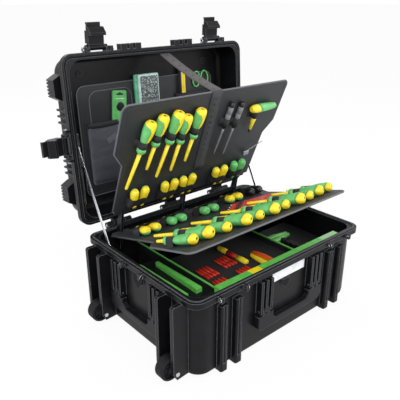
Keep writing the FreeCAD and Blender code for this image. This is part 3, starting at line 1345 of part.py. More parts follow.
def slim_drivers():
    """Two slim steel drivers and their loops."""
    tools, loops = [], []
    height = SLIM_R + GAP
    slant = SLIM_SLANT_DEG
    for across, butt_share, end_share in SLIM_SHARES:
        x = BOARD_HALF * across
        butt, end = parts_of(UPPER_LEN, (butt_share, end_share))
        blade_l = (butt - end) / math.cos(math.radians(slant)) - SLIM_L
        profile = [(s * SLIM_L, (1 + r) / 2 * SLIM_R) for s, r in HANDLE_SHARES]
        body = turned(profile)
        blade = Part.makeCylinder(SLIM_BLADE_R, blade_l, Vec(0, SLIM_L, 0), Y_AXIS)
        tools.append(on_upper(laid(body.fuse(blade), -x, butt, height, -slant)))
        hold = saddle(SLIM_R, height).translated(Y_AXIS * (SLIM_L * 3 / 4))
        loops.append(on_upper(laid(hold, -x, butt, 0, -slant)))
    return tools, loops


def plier_pair():
    """Two plier handles with their pocket, butts at y = 0, lying on the board."""
    handles = []
    height = PLIER_R + GAP
    for side in (-1, 1):
        shape = turned([(0, PLIER_R / 2), (PLIER_R / 2, PLIER_R), (PLIER_L / 2, PLIER_R),
                        (PLIER_L, PLIER_R * 2 / 3)], smooth=False)
        shape = shape.rotated(ORIGIN, Z_AXIS, side * PLIER_SPLAY_DEG)
        handles.append(shape.translated(Vec(side * PLIER_SPREAD / 2, 0, height)))
    half = PLIER_SPREAD / 2 + PLIER_R + GAP
    outer = half + PLIER_POCKET_T
    y = (PLIER_L - PLIER_POCKET_L, PLIER_L)
    top = height + PLIER_R + GAP
    pocket = block((-outer, outer), y, (0, top + PLIER_POCKET_T))
    pocket = pocket.cut(block((-half, half), (y[0] - OVERRUN, y[1] + OVERRUN), (-OVERRUN, top)))
    return handles, pocket


def pliers_on(shares, length, put, flip):
    """Plier handles and pockets at places on one board of a given length."""
    handles, pockets = [], []
    pair, pocket = plier_pair()
    for across, along in shares:
        x = BOARD_HALF * across
        up_board = length * along
        for piece in pair:
            handles.append(put(laid(piece, flip * x, up_board, 0, 0)))
        pockets.append(put(laid(pocket, flip * x, up_board, 0, 0)))
    return handles, pockets


def lower_tools():
    """Grips, cores and loops of the lower board's screwdrivers."""
    grips, cores, loops = [], [], []
    for across, along, radius_share, blade_share in LOWER_DRIVER_SHARES:
        x = BOARD_HALF * across
        butt = LOWER_LEN * along
        blade_l = LOWER_BLADE_L * blade_share
        radius = LOWER_HANDLE_R * radius_share
        height = radius + GAP
        length = LOWER_HANDLE_L * radius_share
        grip, core = driver(radius, length, blade_l, BLADE_R)
        grips.append(on_lower(laid(grip, x, butt, height, LOWER_SLANT_DEG)))
        cores.append(on_lower(laid(core, x, butt, height, LOWER_SLANT_DEG)))
        hold = saddle(BLADE_R * HANDLE_WIDE_SHARE, height).translated(Y_AXIS * (length + SADDLE_W))
        loops.append(on_lower(laid(hold, x, butt, 0, LOWER_SLANT_DEG)))
    return grips, cores, loops


def red_tools():
    """Slim insulated drivers in the middle of the lower board, and their loops."""
    tools, loops = [], []
    height = RED_TOOL_R + GAP
    for across, along in RED_TOOL_SHARES:
        x = BOARD_HALF * across
        butt = LOWER_LEN * along
        body = turned([(0, RED_TOOL_R / 2), (RED_TOOL_R / 2, RED_TOOL_R), (RED_TOOL_L / 2, RED_TOOL_R),
                       (RED_TOOL_L, RED_TOOL_R / 2)], smooth=False)
        tools.append(on_lower(laid(body, x, butt, height, RED_SLANT_DEG)))
        hold = saddle(RED_TOOL_R, height).translated(Y_AXIS * (RED_TOOL_L * 3 / 4))
        loops.append(on_lower(laid(hold, x, butt, 0, RED_SLANT_DEG)))
    return tools, loops


def strap_on_board():
    """Webbing sewn down the face of the upper board and over its top edge."""
    x = around(-STRAP_X, STRAP_W)
    top = -UPPER_LEN
    face = block(x, (top - STRAP_T, top + STRAP_ON_BOARD), (0, STRAP_T))
    turn = block(x, (top - STRAP_T, top), (-BOARD_T, STRAP_T))
    return on_upper(face.fuse(turn).removeSplitter())


def strap_span():
    """Free webbing from the upper board's top edge to the lid's front wall."""
    up = UPPER_LEN + STRAP_T + STRAP_END_GAP
    mark = Part.Vertex(Vec(-STRAP_X, -up, -BOARD_T / 2))
    start = on_upper(mark).Point
    along = lid_y(LID_RUN - STRAP_END_GAP - STRAP_T)
    anchor = Part.Vertex(Vec(STRAP_X, along, RIM_Z + STRAP_LID_DEEP))
    end = opened(anchor).Point
    run = end.sub(start)
    run = Vec(0, run.y, run.z)
    side = X_AXIS.cross(run).normalize() * STRAP_T
    corner = Vec(STRAP_X - STRAP_W / 2, start.y, start.z)
    return prism([corner, corner + run, corner + run + side, corner + side], X_AXIS * STRAP_W)


# Base contents

def dividers():
    """Thin upright dividers from front to back, lower at the front where the level lies on them."""
    front = -IN_Y + SEAT_GAP
    step = level_back()
    seat = LEVEL_TOP - LEVEL_H
    pieces = []
    for x in parts_of(IN_X, DIVIDER_SHARES):
        start = x - DIVIDER_T / 2
        points = [(front + EDGE_R, FLOOR_Z), (DIVIDER_BACK, FLOOR_Z), (DIVIDER_BACK, DIVIDER_TOP),
                  (step, DIVIDER_TOP), (step, seat), (front, seat), (front, FLOOR_Z + EDGE_R)]
        plate = prism([Vec(start, y, z) for y, z in points], X_AXIS * DIVIDER_T)
        pieces.append(plate.cut(channels(SEAT_GAP)))
    return group(pieces)


def level_back():
    """Line along the front behind which the inserts and trays begin."""
    return LEVEL_Y + LEVEL_W / 2 + EDGE_R / 4


def tray(x, y, z, plate_t):
    """Lift-out tray: a top plate with a skirt, open below."""
    low, high = z
    body = block(x, y, z)
    inner_x = (x[0] + SKIRT_T, x[1] - SKIRT_T)
    inner_y = (y[0] + SKIRT_T, y[1] - SKIRT_T)
    return body.cut(block(inner_x, inner_y, (low - OVERRUN, high - plate_t)))


def bay(index):
    """Sides of a compartment: left, middle or right of the dividers."""
    edge = IN_X - EDGE_R
    half = DIVIDER_T / 2 + INSERT_MARGIN
    left, right = parts_of(IN_X, DIVIDER_SHARES)
    return ((-edge, left - half), (left + half, right - half), (right + half, edge))[index]


def bit_insert():
    """Insert of the middle compartment, with lays for the bits, knife and handle."""
    body = tray(bay(1), (level_back(), INSERT_BACK), (CHANNEL_TOP_Z, INSERT_TOP), INSERT_T)
    cuts = []
    for start, end in bit_places():
        cuts.append(rod(start, end, BIT_R + GAP))
    knife_a, knife_b = knife_line()
    cuts.append(rod(knife_a - Y_AXIS * GAP, knife_b + Y_AXIS * GAP, KNIFE_R + GAP))
    handle_a, handle_b = red_handle_line()
    cuts.append(rod(handle_a - Y_AXIS * GAP, handle_b + Y_AXIS * GAP, RED_HANDLE_R + GAP))
    return body.cut(cuts)


def bit_places():
    """Ends of the insulated bits, in groups."""
    places = []
    z = INSERT_TOP + BIT_PROUD
    for x_share, y_share in BIT_GROUP_SHARES:
        gx = IN_X * x_share
        gy = IN_Y * y_share
        for index in range(BIT_COUNT):
            x = gx + (index - (BIT_COUNT - 1) / 2) * BIT_PITCH
            places.append((Vec(x, gy - BIT_L / 2, z), Vec(x, gy + BIT_L / 2, z)))
    return places


def knife_line():
    """Ends of the cable knife."""
    z = INSERT_TOP + BIT_PROUD
    x = IN_X * KNIFE_X_SHARE
    near, far = parts_of(IN_Y, KNIFE_Y_SHARES)
    return Vec(x, near, z), Vec(x, far, z)


def red_handle_line():
    """Ends of the insulated driver handle."""
    z = INSERT_TOP + BIT_PROUD
    x = IN_X * RED_HANDLE_X_SHARE
    near, far = parts_of(IN_Y, RED_HANDLE_Y_SHARES)
    return Vec(x, near, z), Vec(x, far, z)


def insulated_set():
    """Red insulated bits and their driver handle."""
    pieces = [rod(start, end, BIT_R) for start, end in bit_places()]
    start, end = red_handle_line()
    length = end.sub(start).Length
    handle = turned([(s * length, r * RED_HANDLE_R) for s, r in HANDLE_SHARES])
    pieces.append(handle.translated(start))
    return group(pieces)


def cable_knife():
    """Round-handled cable knife."""
    start, end = knife_line()
    length = end.sub(start).Length
    return turned([(0, KNIFE_R * 2 / 3), (length / 6, KNIFE_R), (length / 2, KNIFE_R * 5 / 6),
                   (length * 5 / 6, KNIFE_R), (length, KNIFE_R * 2 / 3)]).translated(start)


def level_place(shape):
    """A level piece turned to its place along the front wall."""
    return shape.rotated(ORIGIN, Z_AXIS, LEVEL_TURN_DEG).translated(Vec(LEVEL_X, LEVEL_Y, LEVEL_TOP))


def level_windows():
    """Window of the vial and the pale end piece, along the level."""
    right = LEVEL_L / 2
    return (around(VIAL_AT, VIAL_L), (right - LEVEL_END_L, right))


def spirit_level():
    """Spirit level along the front wall, open where the vial and end piece sit."""
    body = block(around(0, LEVEL_L), around(0, LEVEL_W), (-LEVEL_H, 0))
    half = LEVEL_H / 2
    for x in level_windows():
        body = body.cut(block(x, around(0, LEVEL_W + 2 * OVERRUN), (-half, OVERRUN)))
    return level_place(body)


def level_vials():
    """Vial block and end piece of the level."""
    pieces = []
    half = LEVEL_H / 2
    for low, high in level_windows():
        pieces.append(level_place(block((low + SEAT_GAP, high - SEAT_GAP), around(0, LEVEL_W), (-half, 0))))
    return group(pieces)


def green_tools():
    """Saw frames at the left and crimping pliers at the right."""
    pieces = []
    saw_x = parts_of(IN_X, SAW_X_SHARES)
    for index, x in enumerate(saw_x):
        near, far = parts_of(IN_Y, SAW_Y_SHARES[index])
        wide = SAW_W / 2
        low = SAW_TOP - SAW_H
        points = [Vec(x - wide, near, low), Vec(x + wide, near, low), Vec(x + wide / 2, far, low),
                  Vec(x - wide / 2, far, low)]
        pieces.append(prism(points, Z_AXIS * SAW_H))
    z = TRAY_TOP + CRIMP_R + GAP
    length = CRIMP_L
    for side in (-1, 1):
        handle = turned([(0, CRIMP_R / 2), (CRIMP_R / 2, CRIMP_R), (length / 2, CRIMP_R),
                         (length, CRIMP_R * 2 / 3)], smooth=False)
        handle = handle.rotated(ORIGIN, Z_AXIS, -90 - side * PLIER_SPLAY_DEG)
        middle = IN_Y * CRIMP_Y_SHARE + side * CRIMP_SPREAD / 2
        pieces.append(handle.translated(Vec(IN_X * CRIMP_X_SHARE, middle, z)))
    return group(pieces)


def side_trays():
    """Raised trays of the left and right compartments, on the floor and on the tube channels."""
    saw_low, saw_high = parts_of(IN_Y, SAW_Y_SHARES[0])
    back = IN_Y * CRIMP_Y_SHARE + CRIMP_L / 2 + CRIMP_SPREAD
    left = tray(bay(0), (saw_low - SAW_W, saw_high + SAW_W), (FLOOR_Z, SAW_TOP - SAW_H), TRAY_T)
    right = tray(bay(2), (level_back(), back), (CHANNEL_TOP_Z, TRAY_TOP), TRAY_T)
    return group([left, right])


def socket_rail():
    """Socket holder rail with its row of sockets."""
    x = parts_of(IN_X, RAIL_BLOCK_X_SHARES)
    y = parts_of(IN_Y, RAIL_BLOCK_Y_SHARES)
    top = TRAY_TOP + RAIL_BLOCK_H
    base = block(x, y, (TRAY_TOP, top))
    pitch = (y[1] - y[0]) / SOCKET_COUNT
    middle = (x[0] + x[1]) / 2
    sockets = []
    for index in range(SOCKET_COUNT):
        place = Vec(middle, y[0] + (index + 1 / 2) * pitch, top)
        sockets.append(Part.makeCylinder(SOCKET_R, SOCKET_H, place, Z_AXIS))
    return base.fuse(sockets).removeSplitter()


def main():
    """Make every node and write it out."""
    nodes = {}
    nodes["base_shell"] = base_shell()
    nodes["label_plate"] = label_plate()
    nodes["padlock_rings_base"] = padlock_rings_base()
    nodes["hinge_pins"] = hinge_pins()
    nodes["wheel_axles"] = group([axle(-WHEEL_Y), axle(WHEEL_Y)])
    nodes["pivot_pins"] = pivot_pins()
    nodes["pull_bushes"] = pull_bushes()
    nodes["stay_plates"] = stay_plates()
    nodes["board_posts"] = board_posts()
    nodes["board_flap"] = board_flap()
    nodes["dividers"] = dividers()
    nodes["side_trays"] = side_trays()
    nodes["bit_insert"] = bit_insert()
    nodes["insulated_set"] = insulated_set()
    nodes["cable_knife"] = cable_knife()
    nodes["spirit_level"] = spirit_level()
    nodes["level_vials"] = level_vials()
    nodes["green_tools"] = green_tools()
    nodes["socket_rail"] = socket_rail()

    nodes["wheel_front"] = wheel().translated(Vec(AXLE_X, -WHEEL_Y, WHEEL_Z))
    nodes["wheel_rear"] = wheel().translated(Vec(AXLE_X, WHEEL_Y, WHEEL_Z))
    nodes["front_handle"] = carry_handle(HANDLE_FRONT_HALF).translated(Vec(HANDLE_FRONT_X, -WALL_Y, 0))
    nodes["end_handle"] = to_end(carry_handle(HANDLE_END_HALF), -1).translated(Vec(-WALL_X, 0, 0))
    nodes["pull_tubes"] = pull_tubes()
    nodes["pull_grip"] = pull_grip()
    nodes["pull_button"] = pull_button()
    nodes["stay_arms"] = stay_arms()

    nodes["lid_shell"] = lid_shell()
    nodes["lid_seal"] = lid_seal()
    nodes["padlock_rings_lid"] = padlock_rings_lid()
    nodes["latch_pins"] = latch_pins()
    nodes["stay_rails"] = stay_rails()
    nodes["lid_panel"] = lid_panel()
    nodes["lid_pockets"] = lid_pockets()
    nodes["tester"] = tester()
    nodes["bit_box"] = bit_box()
    nodes["folding_rule"] = folding_rule()
    nodes["scissors"] = scissors()
    bodies = [opened(shape) for shape in at_latches([thrown(latch_body())])]
    levers = [opened(shape) for shape in at_latches([thrown(latch_lever())])]
    for name, body, lever in zip(("front_left", "front_right", "side_left", "side_right"), bodies, levers):
        nodes["latch_" + name] = body
        nodes["lever_" + name] = lever

    axis_z = UPPER_FACE_Z - UPPER_PIVOT_Z
    nodes["upper_board"] = on_upper(board(UPPER_LEN, UPPER_STEP_LOW, UPPER_STEP_HIGH, axis_z))
    grips, cores, loops = upper_tools()
    slim, slim_loops = slim_drivers()
    handles, pockets = pliers_on(UPPER_PLIER_SHARES, UPPER_LEN, on_upper, -1)
    nodes["upper_grips"] = group(grips)
    nodes["upper_cores"] = group(cores)
    nodes["upper_slim_drivers"] = group(slim)
    nodes["upper_pliers"] = group(handles)
    nodes["upper_loops"] = group(loops + slim_loops + pockets)
    nodes["strap_on_board"] = strap_on_board()
    nodes["strap_span"] = strap_span()

    axis_z = LOWER_PIVOT_Z - LOWER_FACE_Z
    nodes["lower_board"] = on_lower(board(LOWER_LEN, LOWER_STEP_LOW, LOWER_STEP_HIGH, axis_z))
    grips, cores, loops = lower_tools()
    red, red_loops = red_tools()
    handles, pockets = pliers_on(LOWER_PLIER_SHARES, LOWER_LEN, on_lower, 1)
    nodes["lower_grips"] = group(grips)
    nodes["lower_cores"] = group(cores)
    nodes["lower_pliers"] = group(handles)
    nodes["lower_red_drivers"] = group(red)
    nodes["lower_loops"] = group(loops + red_loops + pockets)

    for name, shape in nodes.items():
        shape.exportStep("parts/" + name + ".step")
        state = "valid" if shape.isValid() else "INVALID"
        print(name, len(shape.Solids), "solids", round(shape.Volume), "mm3", state)


main()
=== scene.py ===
"""Looks of the open rolling tool case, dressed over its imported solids."""
import logging
import math
from dataclasses import dataclass, field
from enum import Enum
from typing import Callable, Iterable, Optional, Sequence, Union

import bmesh
import bpy
from mathutils import Matrix, Vector


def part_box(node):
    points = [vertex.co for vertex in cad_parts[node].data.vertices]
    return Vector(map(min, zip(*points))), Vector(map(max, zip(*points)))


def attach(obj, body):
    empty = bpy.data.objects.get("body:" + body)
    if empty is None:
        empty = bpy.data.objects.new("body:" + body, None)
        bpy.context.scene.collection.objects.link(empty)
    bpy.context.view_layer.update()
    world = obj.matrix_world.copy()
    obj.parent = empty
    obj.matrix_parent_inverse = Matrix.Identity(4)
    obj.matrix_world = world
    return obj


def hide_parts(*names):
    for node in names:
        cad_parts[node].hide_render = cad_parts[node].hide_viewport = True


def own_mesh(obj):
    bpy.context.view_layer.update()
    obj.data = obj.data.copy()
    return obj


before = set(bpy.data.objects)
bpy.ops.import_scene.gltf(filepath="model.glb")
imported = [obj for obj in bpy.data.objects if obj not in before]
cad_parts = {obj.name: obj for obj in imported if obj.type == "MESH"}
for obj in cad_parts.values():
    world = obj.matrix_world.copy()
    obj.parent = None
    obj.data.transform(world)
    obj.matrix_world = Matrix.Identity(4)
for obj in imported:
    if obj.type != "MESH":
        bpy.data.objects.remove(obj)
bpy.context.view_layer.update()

logging.basicConfig(level=logging.INFO, format="%(message)s")
LOG = logging.getLogger("tool_case")

MM = 0.001
Colour = tuple[float, float, float]
Profile = Sequence[tuple[float, float]]
Value = Union["Wire", float, Sequence[float]]


def linear(red: int, green: int, blue: int) -> Colour:
    """Linear colour of an 8-bit screen colour.

    Args:
        red: Screen red, 0 to 255.
        green: Screen green, 0 to 255.
        blue: Screen blue, 0 to 255.

    Returns:
        The colour in scene-linear values.
    """
    values = (red / 255, green / 255, blue / 255)
    return tuple(v / 12.92 if v <= 0.04045 else ((v + 0.055) / 1.055) ** 2.4 for v in values)


class Body(Enum):
    """Bodies of the case that pieces ride on."""

    BASE = "base"
    LID = "lid"
    UPPER = "upper_tool_board"
    LOWER = "lower_tool_board"


class Tone(Enum):
    """Colours of the tools and their holders."""

    GREEN = linear(106, 194, 112)
    LEAF = linear(104, 198, 88)
    MINT = linear(116, 200, 160)
    YELLOW = linear(252, 226, 46)
    RED = linear(196, 44, 26)
    ORANGE = linear(222, 92, 30)
    DARK = linear(26, 26, 28)


class Wire:
    """A shader socket that takes part in Python sums."""

    def __init__(self, graph: "Graph", socket: bpy.types.NodeSocket) -> None:
        """Wrap one output socket of a graph."""
        self.graph = graph
        self.socket = socket

    def _math(self, operation: str, first: Value, second: Value) -> "Wire":
        """Add one Math node.

        Args:
            operation: The Math node's operation.
            first: First value or wire.
            second: Second value or wire.

        Returns:
            The node's result.
        """
        return self.graph.add("ShaderNodeMath", {"operation": operation}, {0: first, 1: second})

    def __add__(self, other: Value) -> "Wire":
        """Sum."""
        return self._math("ADD", self, other)

    __radd__ = __add__

    def __sub__(self, other: Value) -> "Wire":
        """Difference."""
        return self._math("SUBTRACT", self, other)

    def __rsub__(self, other: Value) -> "Wire":
        """Difference from a number."""
        return self._math("SUBTRACT", other, self)

    def __mul__(self, other: Value) -> "Wire":
        """Product."""
        return self._math("MULTIPLY", self, other)

    __rmul__ = __mul__

    def __abs__(self) -> "Wire":
        """Size without its sign."""
        return self._math("ABSOLUTE", self, 0.0)

    def between(self, low: float, high: float) -> "Wire":
        """Smooth step from 0 at low to 1 at high.

        Args:
            low: Value that gives 0.
            high: Value that gives 1.

        Returns:
            The stepped value.
        """
        settings = {"interpolation_type": "SMOOTHSTEP"}
        inputs = {"Value": self, "From Min": low, "From Max": high}
        return self.graph.add("ShaderNodeMapRange", settings, inputs)


class Graph:
    """A material's node tree, written as expressions."""

    def __init__(self, name: str) -> None:
        """Start a material with one Principled shader."""
        self.material = bpy.data.materials.new(name)
        self.material.use_nodes = True
        self.tree = self.material.node_tree
        self.shader = next(n for n in self.tree.nodes if n.type == "BSDF_PRINCIPLED")

    def add(self, kind: str, settings: Optional[dict] = None, inputs: Optional[dict] = None,
            out: Union[int, str] = 0) -> Wire:
        """Add a node of any type.

        Args:
            kind: The node's type.
            settings: Properties, set first.
            inputs: Values or wires of its sockets, by name or number.
            out: The output that is wanted.

        Returns:
            That output as a wire.
        """
        node = self.tree.nodes.new(kind)
        for key, value in (settings or {}).items():
            setattr(node, key, value)
        for key, value in (inputs or {}).items():
            self.feed(node.inputs[key], value)
        return Wire(self, node.outputs[out])

    def feed(self, socket: bpy.types.NodeSocket, value: Value) -> None:
        """Link a wire to a socket, or set its value.

        Args:
            socket: The socket that is fed.
            value: A wire, a number or a list of numbers.
        """
        if isinstance(value, Wire):
            self.tree.links.new(value.socket, socket)
        elif isinstance(value, (int, float)):
            socket.default_value = value
        else:
            size = len(socket.default_value)
            socket.default_value = (tuple(value) + (1.0,))[:size]

    def set(self, **inputs: Value) -> None:
        """Feed sockets of the Principled shader, underscores standing for spaces."""
        for key, value in inputs.items():
            self.feed(self.shader.inputs[key.replace("_", " ")], value)

    def place(self) -> Wire:
        """Object coordinates."""
        return self.add("ShaderNodeTexCoord", out="Object")

    def axis(self, name: str) -> Wire:
        """One object coordinate, X, Y or Z."""
        return self.add("ShaderNodeSeparateXYZ", None, {0: self.place()}, name)

    def noise(self, scale: float, detail: float = 2.0, stretch: Sequence[float] = (1, 1, 1)) -> Wire:
        """Noise over the object's own coordinates.

        Args:
            scale: Cells per metre.
            detail: Octaves.
            stretch: Scale along each axis.

        Returns:
            The noise value.
        """
        where = self.add("ShaderNodeMapping", None, {"Vector": self.place(), "Scale": stretch})
        return self.add("ShaderNodeTexNoise", None, {"Vector": where, "Scale": scale, "Detail": detail})

    def cells(self, scale: float) -> Wire:
        """Distance to the nearest edge of a cell pattern.

        Args:
            scale: Cells per metre.

        Returns:
            The distance value.
        """
        settings = {"feature": "DISTANCE_TO_EDGE"}
        return self.add("ShaderNodeTexVoronoi", settings, {"Vector": self.place(), "Scale": scale})

    def blend(self, share: Value, first: Value, second: Value) -> Wire:
        """Colour between two colours.

        Args:
            share: 0 for the first, 1 for the second.
            first: First colour.
            second: Second colour.

        Returns:
            The mixed colour.
        """
        return self.add("ShaderNodeMix", {"data_type": "RGBA"}, {0: share, 6: first, 7: second}, 2)

    def attribute(self, name: str) -> Wire:
        """A number kept on the mesh."""
        return self.add("ShaderNodeAttribute", {"attribute_name": name}, None, "Fac")

    def bevel(self, radius: float) -> Wire:
        """Normal of rounded edges."""
        return self.add("ShaderNodeBevel", {"samples": 6}, {"Radius": radius})

    def edge(self, radius: float) -> Wire:
        """How near a point lies to a sharp edge.

        Args:
            radius: Reach of the edge in metres.

        Returns:
            A value that rises towards the edge.
        """
        flat = self.add("ShaderNodeNewGeometry", None, None, "Normal")
        settings = {"operation": "DOT_PRODUCT"}
        dot = self.add("ShaderNodeVectorMath", settings, {0: self.bevel(radius), 1: flat}, "Value")
        return (1.0 - dot).between(0.0, 0.25)

    def bump(self, height: Wire, depth: float, strength: float = 1.0, normal: Optional[Wire] = None) -> Wire:
        """Normal of a height pattern.

        Args:
            height: The pattern.
            depth: Its depth in metres.
            strength: How much of it shows.
            normal: Normal that it is laid on.

        Returns:
            The new normal.
        """
        inputs = {"Height": height, "Distance": depth, "Strength": strength}
        if normal is not None:
            inputs["Normal"] = normal
        return self.add("ShaderNodeBump", None, inputs)


@dataclass(frozen=True)
class Moulding:
    """Moulded plastic with a fine grain and a highlight painted lighter on its edges."""

    name: str
    colour: Colour
    # Lighter colour painted on the edges as a highlight.
    edge_highlight: Colour
    rough: float = 0.44
    grain: float = 1500.0
    depth: float = 0.00012
    edge: float = 0.0022
    sheen: float = 0.16

    def make(self) -> bpy.types.Material:
        """Build the material."""
        g = Graph(self.name)
        mottle = g.noise(38.0, 3.0)
        # Painted highlight: the edges blend towards the lighter colour, broken up by noise.
        edge_highlight_mask = g.edge(self.edge) * (0.45 + 0.55 * g.noise(120.0, 2.0))
        dull = g.blend(mottle.between(0.3, 0.75), self.colour, tuple(c * 1.35 for c in self.colour))
        g.set(Base_Color=g.blend(edge_highlight_mask, dull, self.edge_highlight))
        g.set(Roughness=self.rough - 0.08 + 0.16 * mottle - 0.06 * edge_highlight_mask)
        g.set(Normal=g.bump(g.noise(self.grain, 1.0), self.depth, 0.5, g.bevel(self.edge)))
        g.set(Specular_IOR_Level=self.sheen)
        return g.material


@dataclass(frozen=True)
class Leatherette:
    """Grained leatherette or book cloth with soft colour changes."""

    name: str
    colour: Colour
    rough: float = 0.55
    grain: float = 620.0
    depth: float = 0.00022
    fold: float = 0.0

    def make(self) -> bpy.types.Material:
        """Build the material."""
        g = Graph(self.name)
        pebble = g.cells(self.grain).between(0.0, 0.35)
        cloud = g.noise(22.0, 3.0)
        lit = tuple(min(1.0, c * 1.7 + 0.004) for c in self.colour)
        g.set(Base_Color=g.blend(0.7 * cloud * pebble + 0.12, self.colour, lit))
        g.set(Roughness=self.rough + 0.14 * (1.0 - pebble) + 0.1 * (cloud - 0.5))
        soft = g.bevel(0.0012)
        if self.fold:
            soft = g.bump(g.noise(16.0, 1.5, (1.0, 0.6, 2.2)), self.fold, 0.9, soft)
        g.set(Normal=g.bump(pebble, self.depth, 0.6, soft))
        return g.material


@dataclass(frozen=True)
class Gloss:
    """Glossy tool plastic in one colour, with a faint orange peel."""

    name: str
    colour: Colour
    rough: float = 0.3
    edge: float = 0.0012

    def make(self) -> bpy.types.Material:
        """Build the material."""
        g = Graph(self.name)
        cloud = g.noise(70.0, 3.0)
        low = tuple(c * 0.78 for c in self.colour)
        g.set(Base_Color=g.blend(cloud.between(0.25, 0.7), low, self.colour))
        g.set(Roughness=self.rough + 0.14 * (cloud - 0.5))
        g.set(Normal=g.bump(g.noise(900.0, 1.0), 0.00005, 0.4, g.bevel(self.edge)))
        return g.material


@dataclass(frozen=True)
class TwoTone:
    """Two plastics moulded together, parted where the mesh's split value crosses zero."""

    name: str
    first: Colour
    second: Colour
    rough: float = 0.32

    def make(self) -> bpy.types.Material:
        """Build the material."""
        g = Graph(self.name)
        part = g.attribute("split").between(-0.02, 0.02)
        seam = abs(g.attribute("split")).between(0.0, 0.07)
        cloud = g.noise(85.0, 3.0).between(0.2, 0.75)
        first = g.blend(cloud, tuple(c * 0.75 for c in self.first), self.first)
        second = g.blend(cloud, tuple(c * 0.82 for c in self.second), self.second)
        both = g.blend(part, first, second)
        g.set(Base_Color=g.blend(seam.between(0.0, 1.0), tuple(c * 0.5 for c in self.first), both))
        g.set(Roughness=self.rough + 0.12 * (1.0 - part) + 0.1 * (cloud - 0.5))
        g.set(Normal=g.bump(seam + 0.15 * g.noise(900.0, 1.0), 0.0004, 0.5))
        return g.material


@dataclass(frozen=True)
class Brushed:
    """Brushed or drawn metal, its lines along one axis."""

    name: str
    colour: Colour
    rough: float = 0.3
    stretch: tuple[float, float, float] = (1.0, 0.05, 0.05)

    def make(self) -> bpy.types.Material:
        """Build the material."""
        g = Graph(self.name)
        lines = g.noise(2400.0, 2.0, self.stretch)
        smear = g.noise(60.0, 2.0)
        g.set(Base_Color=g.blend(lines.between(0.3, 0.7), tuple(c * 0.8 for c in self.colour), self.colour))
        g.set(Roughness=self.rough - 0.08 + 0.2 * smear)
        g.set(Metallic=1.0)
        g.set(Normal=g.bump(lines, 0.00004, 0.4, g.bevel(0.0006)))
        return g.material


@dataclass(frozen=True)
class Woven:
    """Woven webbing or elastic that follows the piece's own map."""

    name: str
    colour: Colour
    light: Colour
    pitch: float = 0.0016
    rough: float = 0.78

    def make(self) -> bpy.types.Material:
        """Build the material."""
        g = Graph(self.name)
        where = g.add("ShaderNodeUVMap", {"uv_map": "cloth"})
        across = g.add("ShaderNodeSeparateXYZ", None, {0: where}, "X")
        along = g.add("ShaderNodeSeparateXYZ", None, {0: where}, "Y")
        turn = 2 * math.pi / self.pitch
        warp = g.add("ShaderNodeMath", {"operation": "SINE"}, {0: across * turn})
        weft = g.add("ShaderNodeMath", {"operation": "SINE"}, {0: along * (turn * 0.6) + warp * 1.2})
        weave = (warp * weft) * 0.5 + 0.5
        fuzz = g.noise(300.0, 3.0)
        g.set(Base_Color=g.blend(0.6 * weave + 0.4 * fuzz, self.colour, self.light))
        g.set(Roughness=self.rough + 0.15 * (fuzz - 0.5))
        g.set(Normal=g.bump(weave + 0.4 * fuzz, 0.0003, 0.7))
        return g.material


@dataclass(frozen=True)
class Banded:
    """Plastic that changes colour where one object coordinate passes given places."""

    name: str
    base: Colour
    axis: str
    bands: tuple[tuple[float, float, Colour], ...]
    rough: float = 0.34

    def make(self) -> bpy.types.Material:
        """Build the material."""
        g = Graph(self.name)
        where = g.axis(self.axis)
        cloud = g.noise(70.0, 3.0)
        colour: Value = g.blend(cloud.between(0.2, 0.7), tuple(c * 0.8 for c in self.base), self.base)
        for low, high, tint in self.bands:
            inside = where.between(low - 0.0002, low) * (1.0 - where.between(high, high + 0.0002))
            colour = g.blend(inside, colour, tint)
        g.set(Base_Color=colour)
        g.set(Roughness=self.rough + 0.14 * (cloud - 0.5))
        g.set(Normal=g.bump(g.noise(800.0, 1.0), 0.00006, 0.4, g.bevel(0.0012)))
        return g.material


@dataclass(frozen=True)
class Speckled:
    """Clear box full of small bright pieces, seen through its lid."""

    name: str
    inside: Colour

    def make(self) -> bpy.types.Material:
        """Build the material."""
        g = Graph(self.name)
        grains = g.cells(150.0).between(0.02, 0.22)
        spark = g.noise(240.0, 3.0).between(0.4, 0.66)
        g.set(Base_Color=g.blend(grains * spark, tuple(c * 0.13 for c in self.inside), self.inside))
        g.set(Roughness=0.16 + 0.1 * g.noise(50.0, 2.0))
        g.set(Normal=g.bump(grains, 0.0003, 0.4, g.bevel(0.002)))
        g.set(Coat_Weight=0.6)
        return g.material


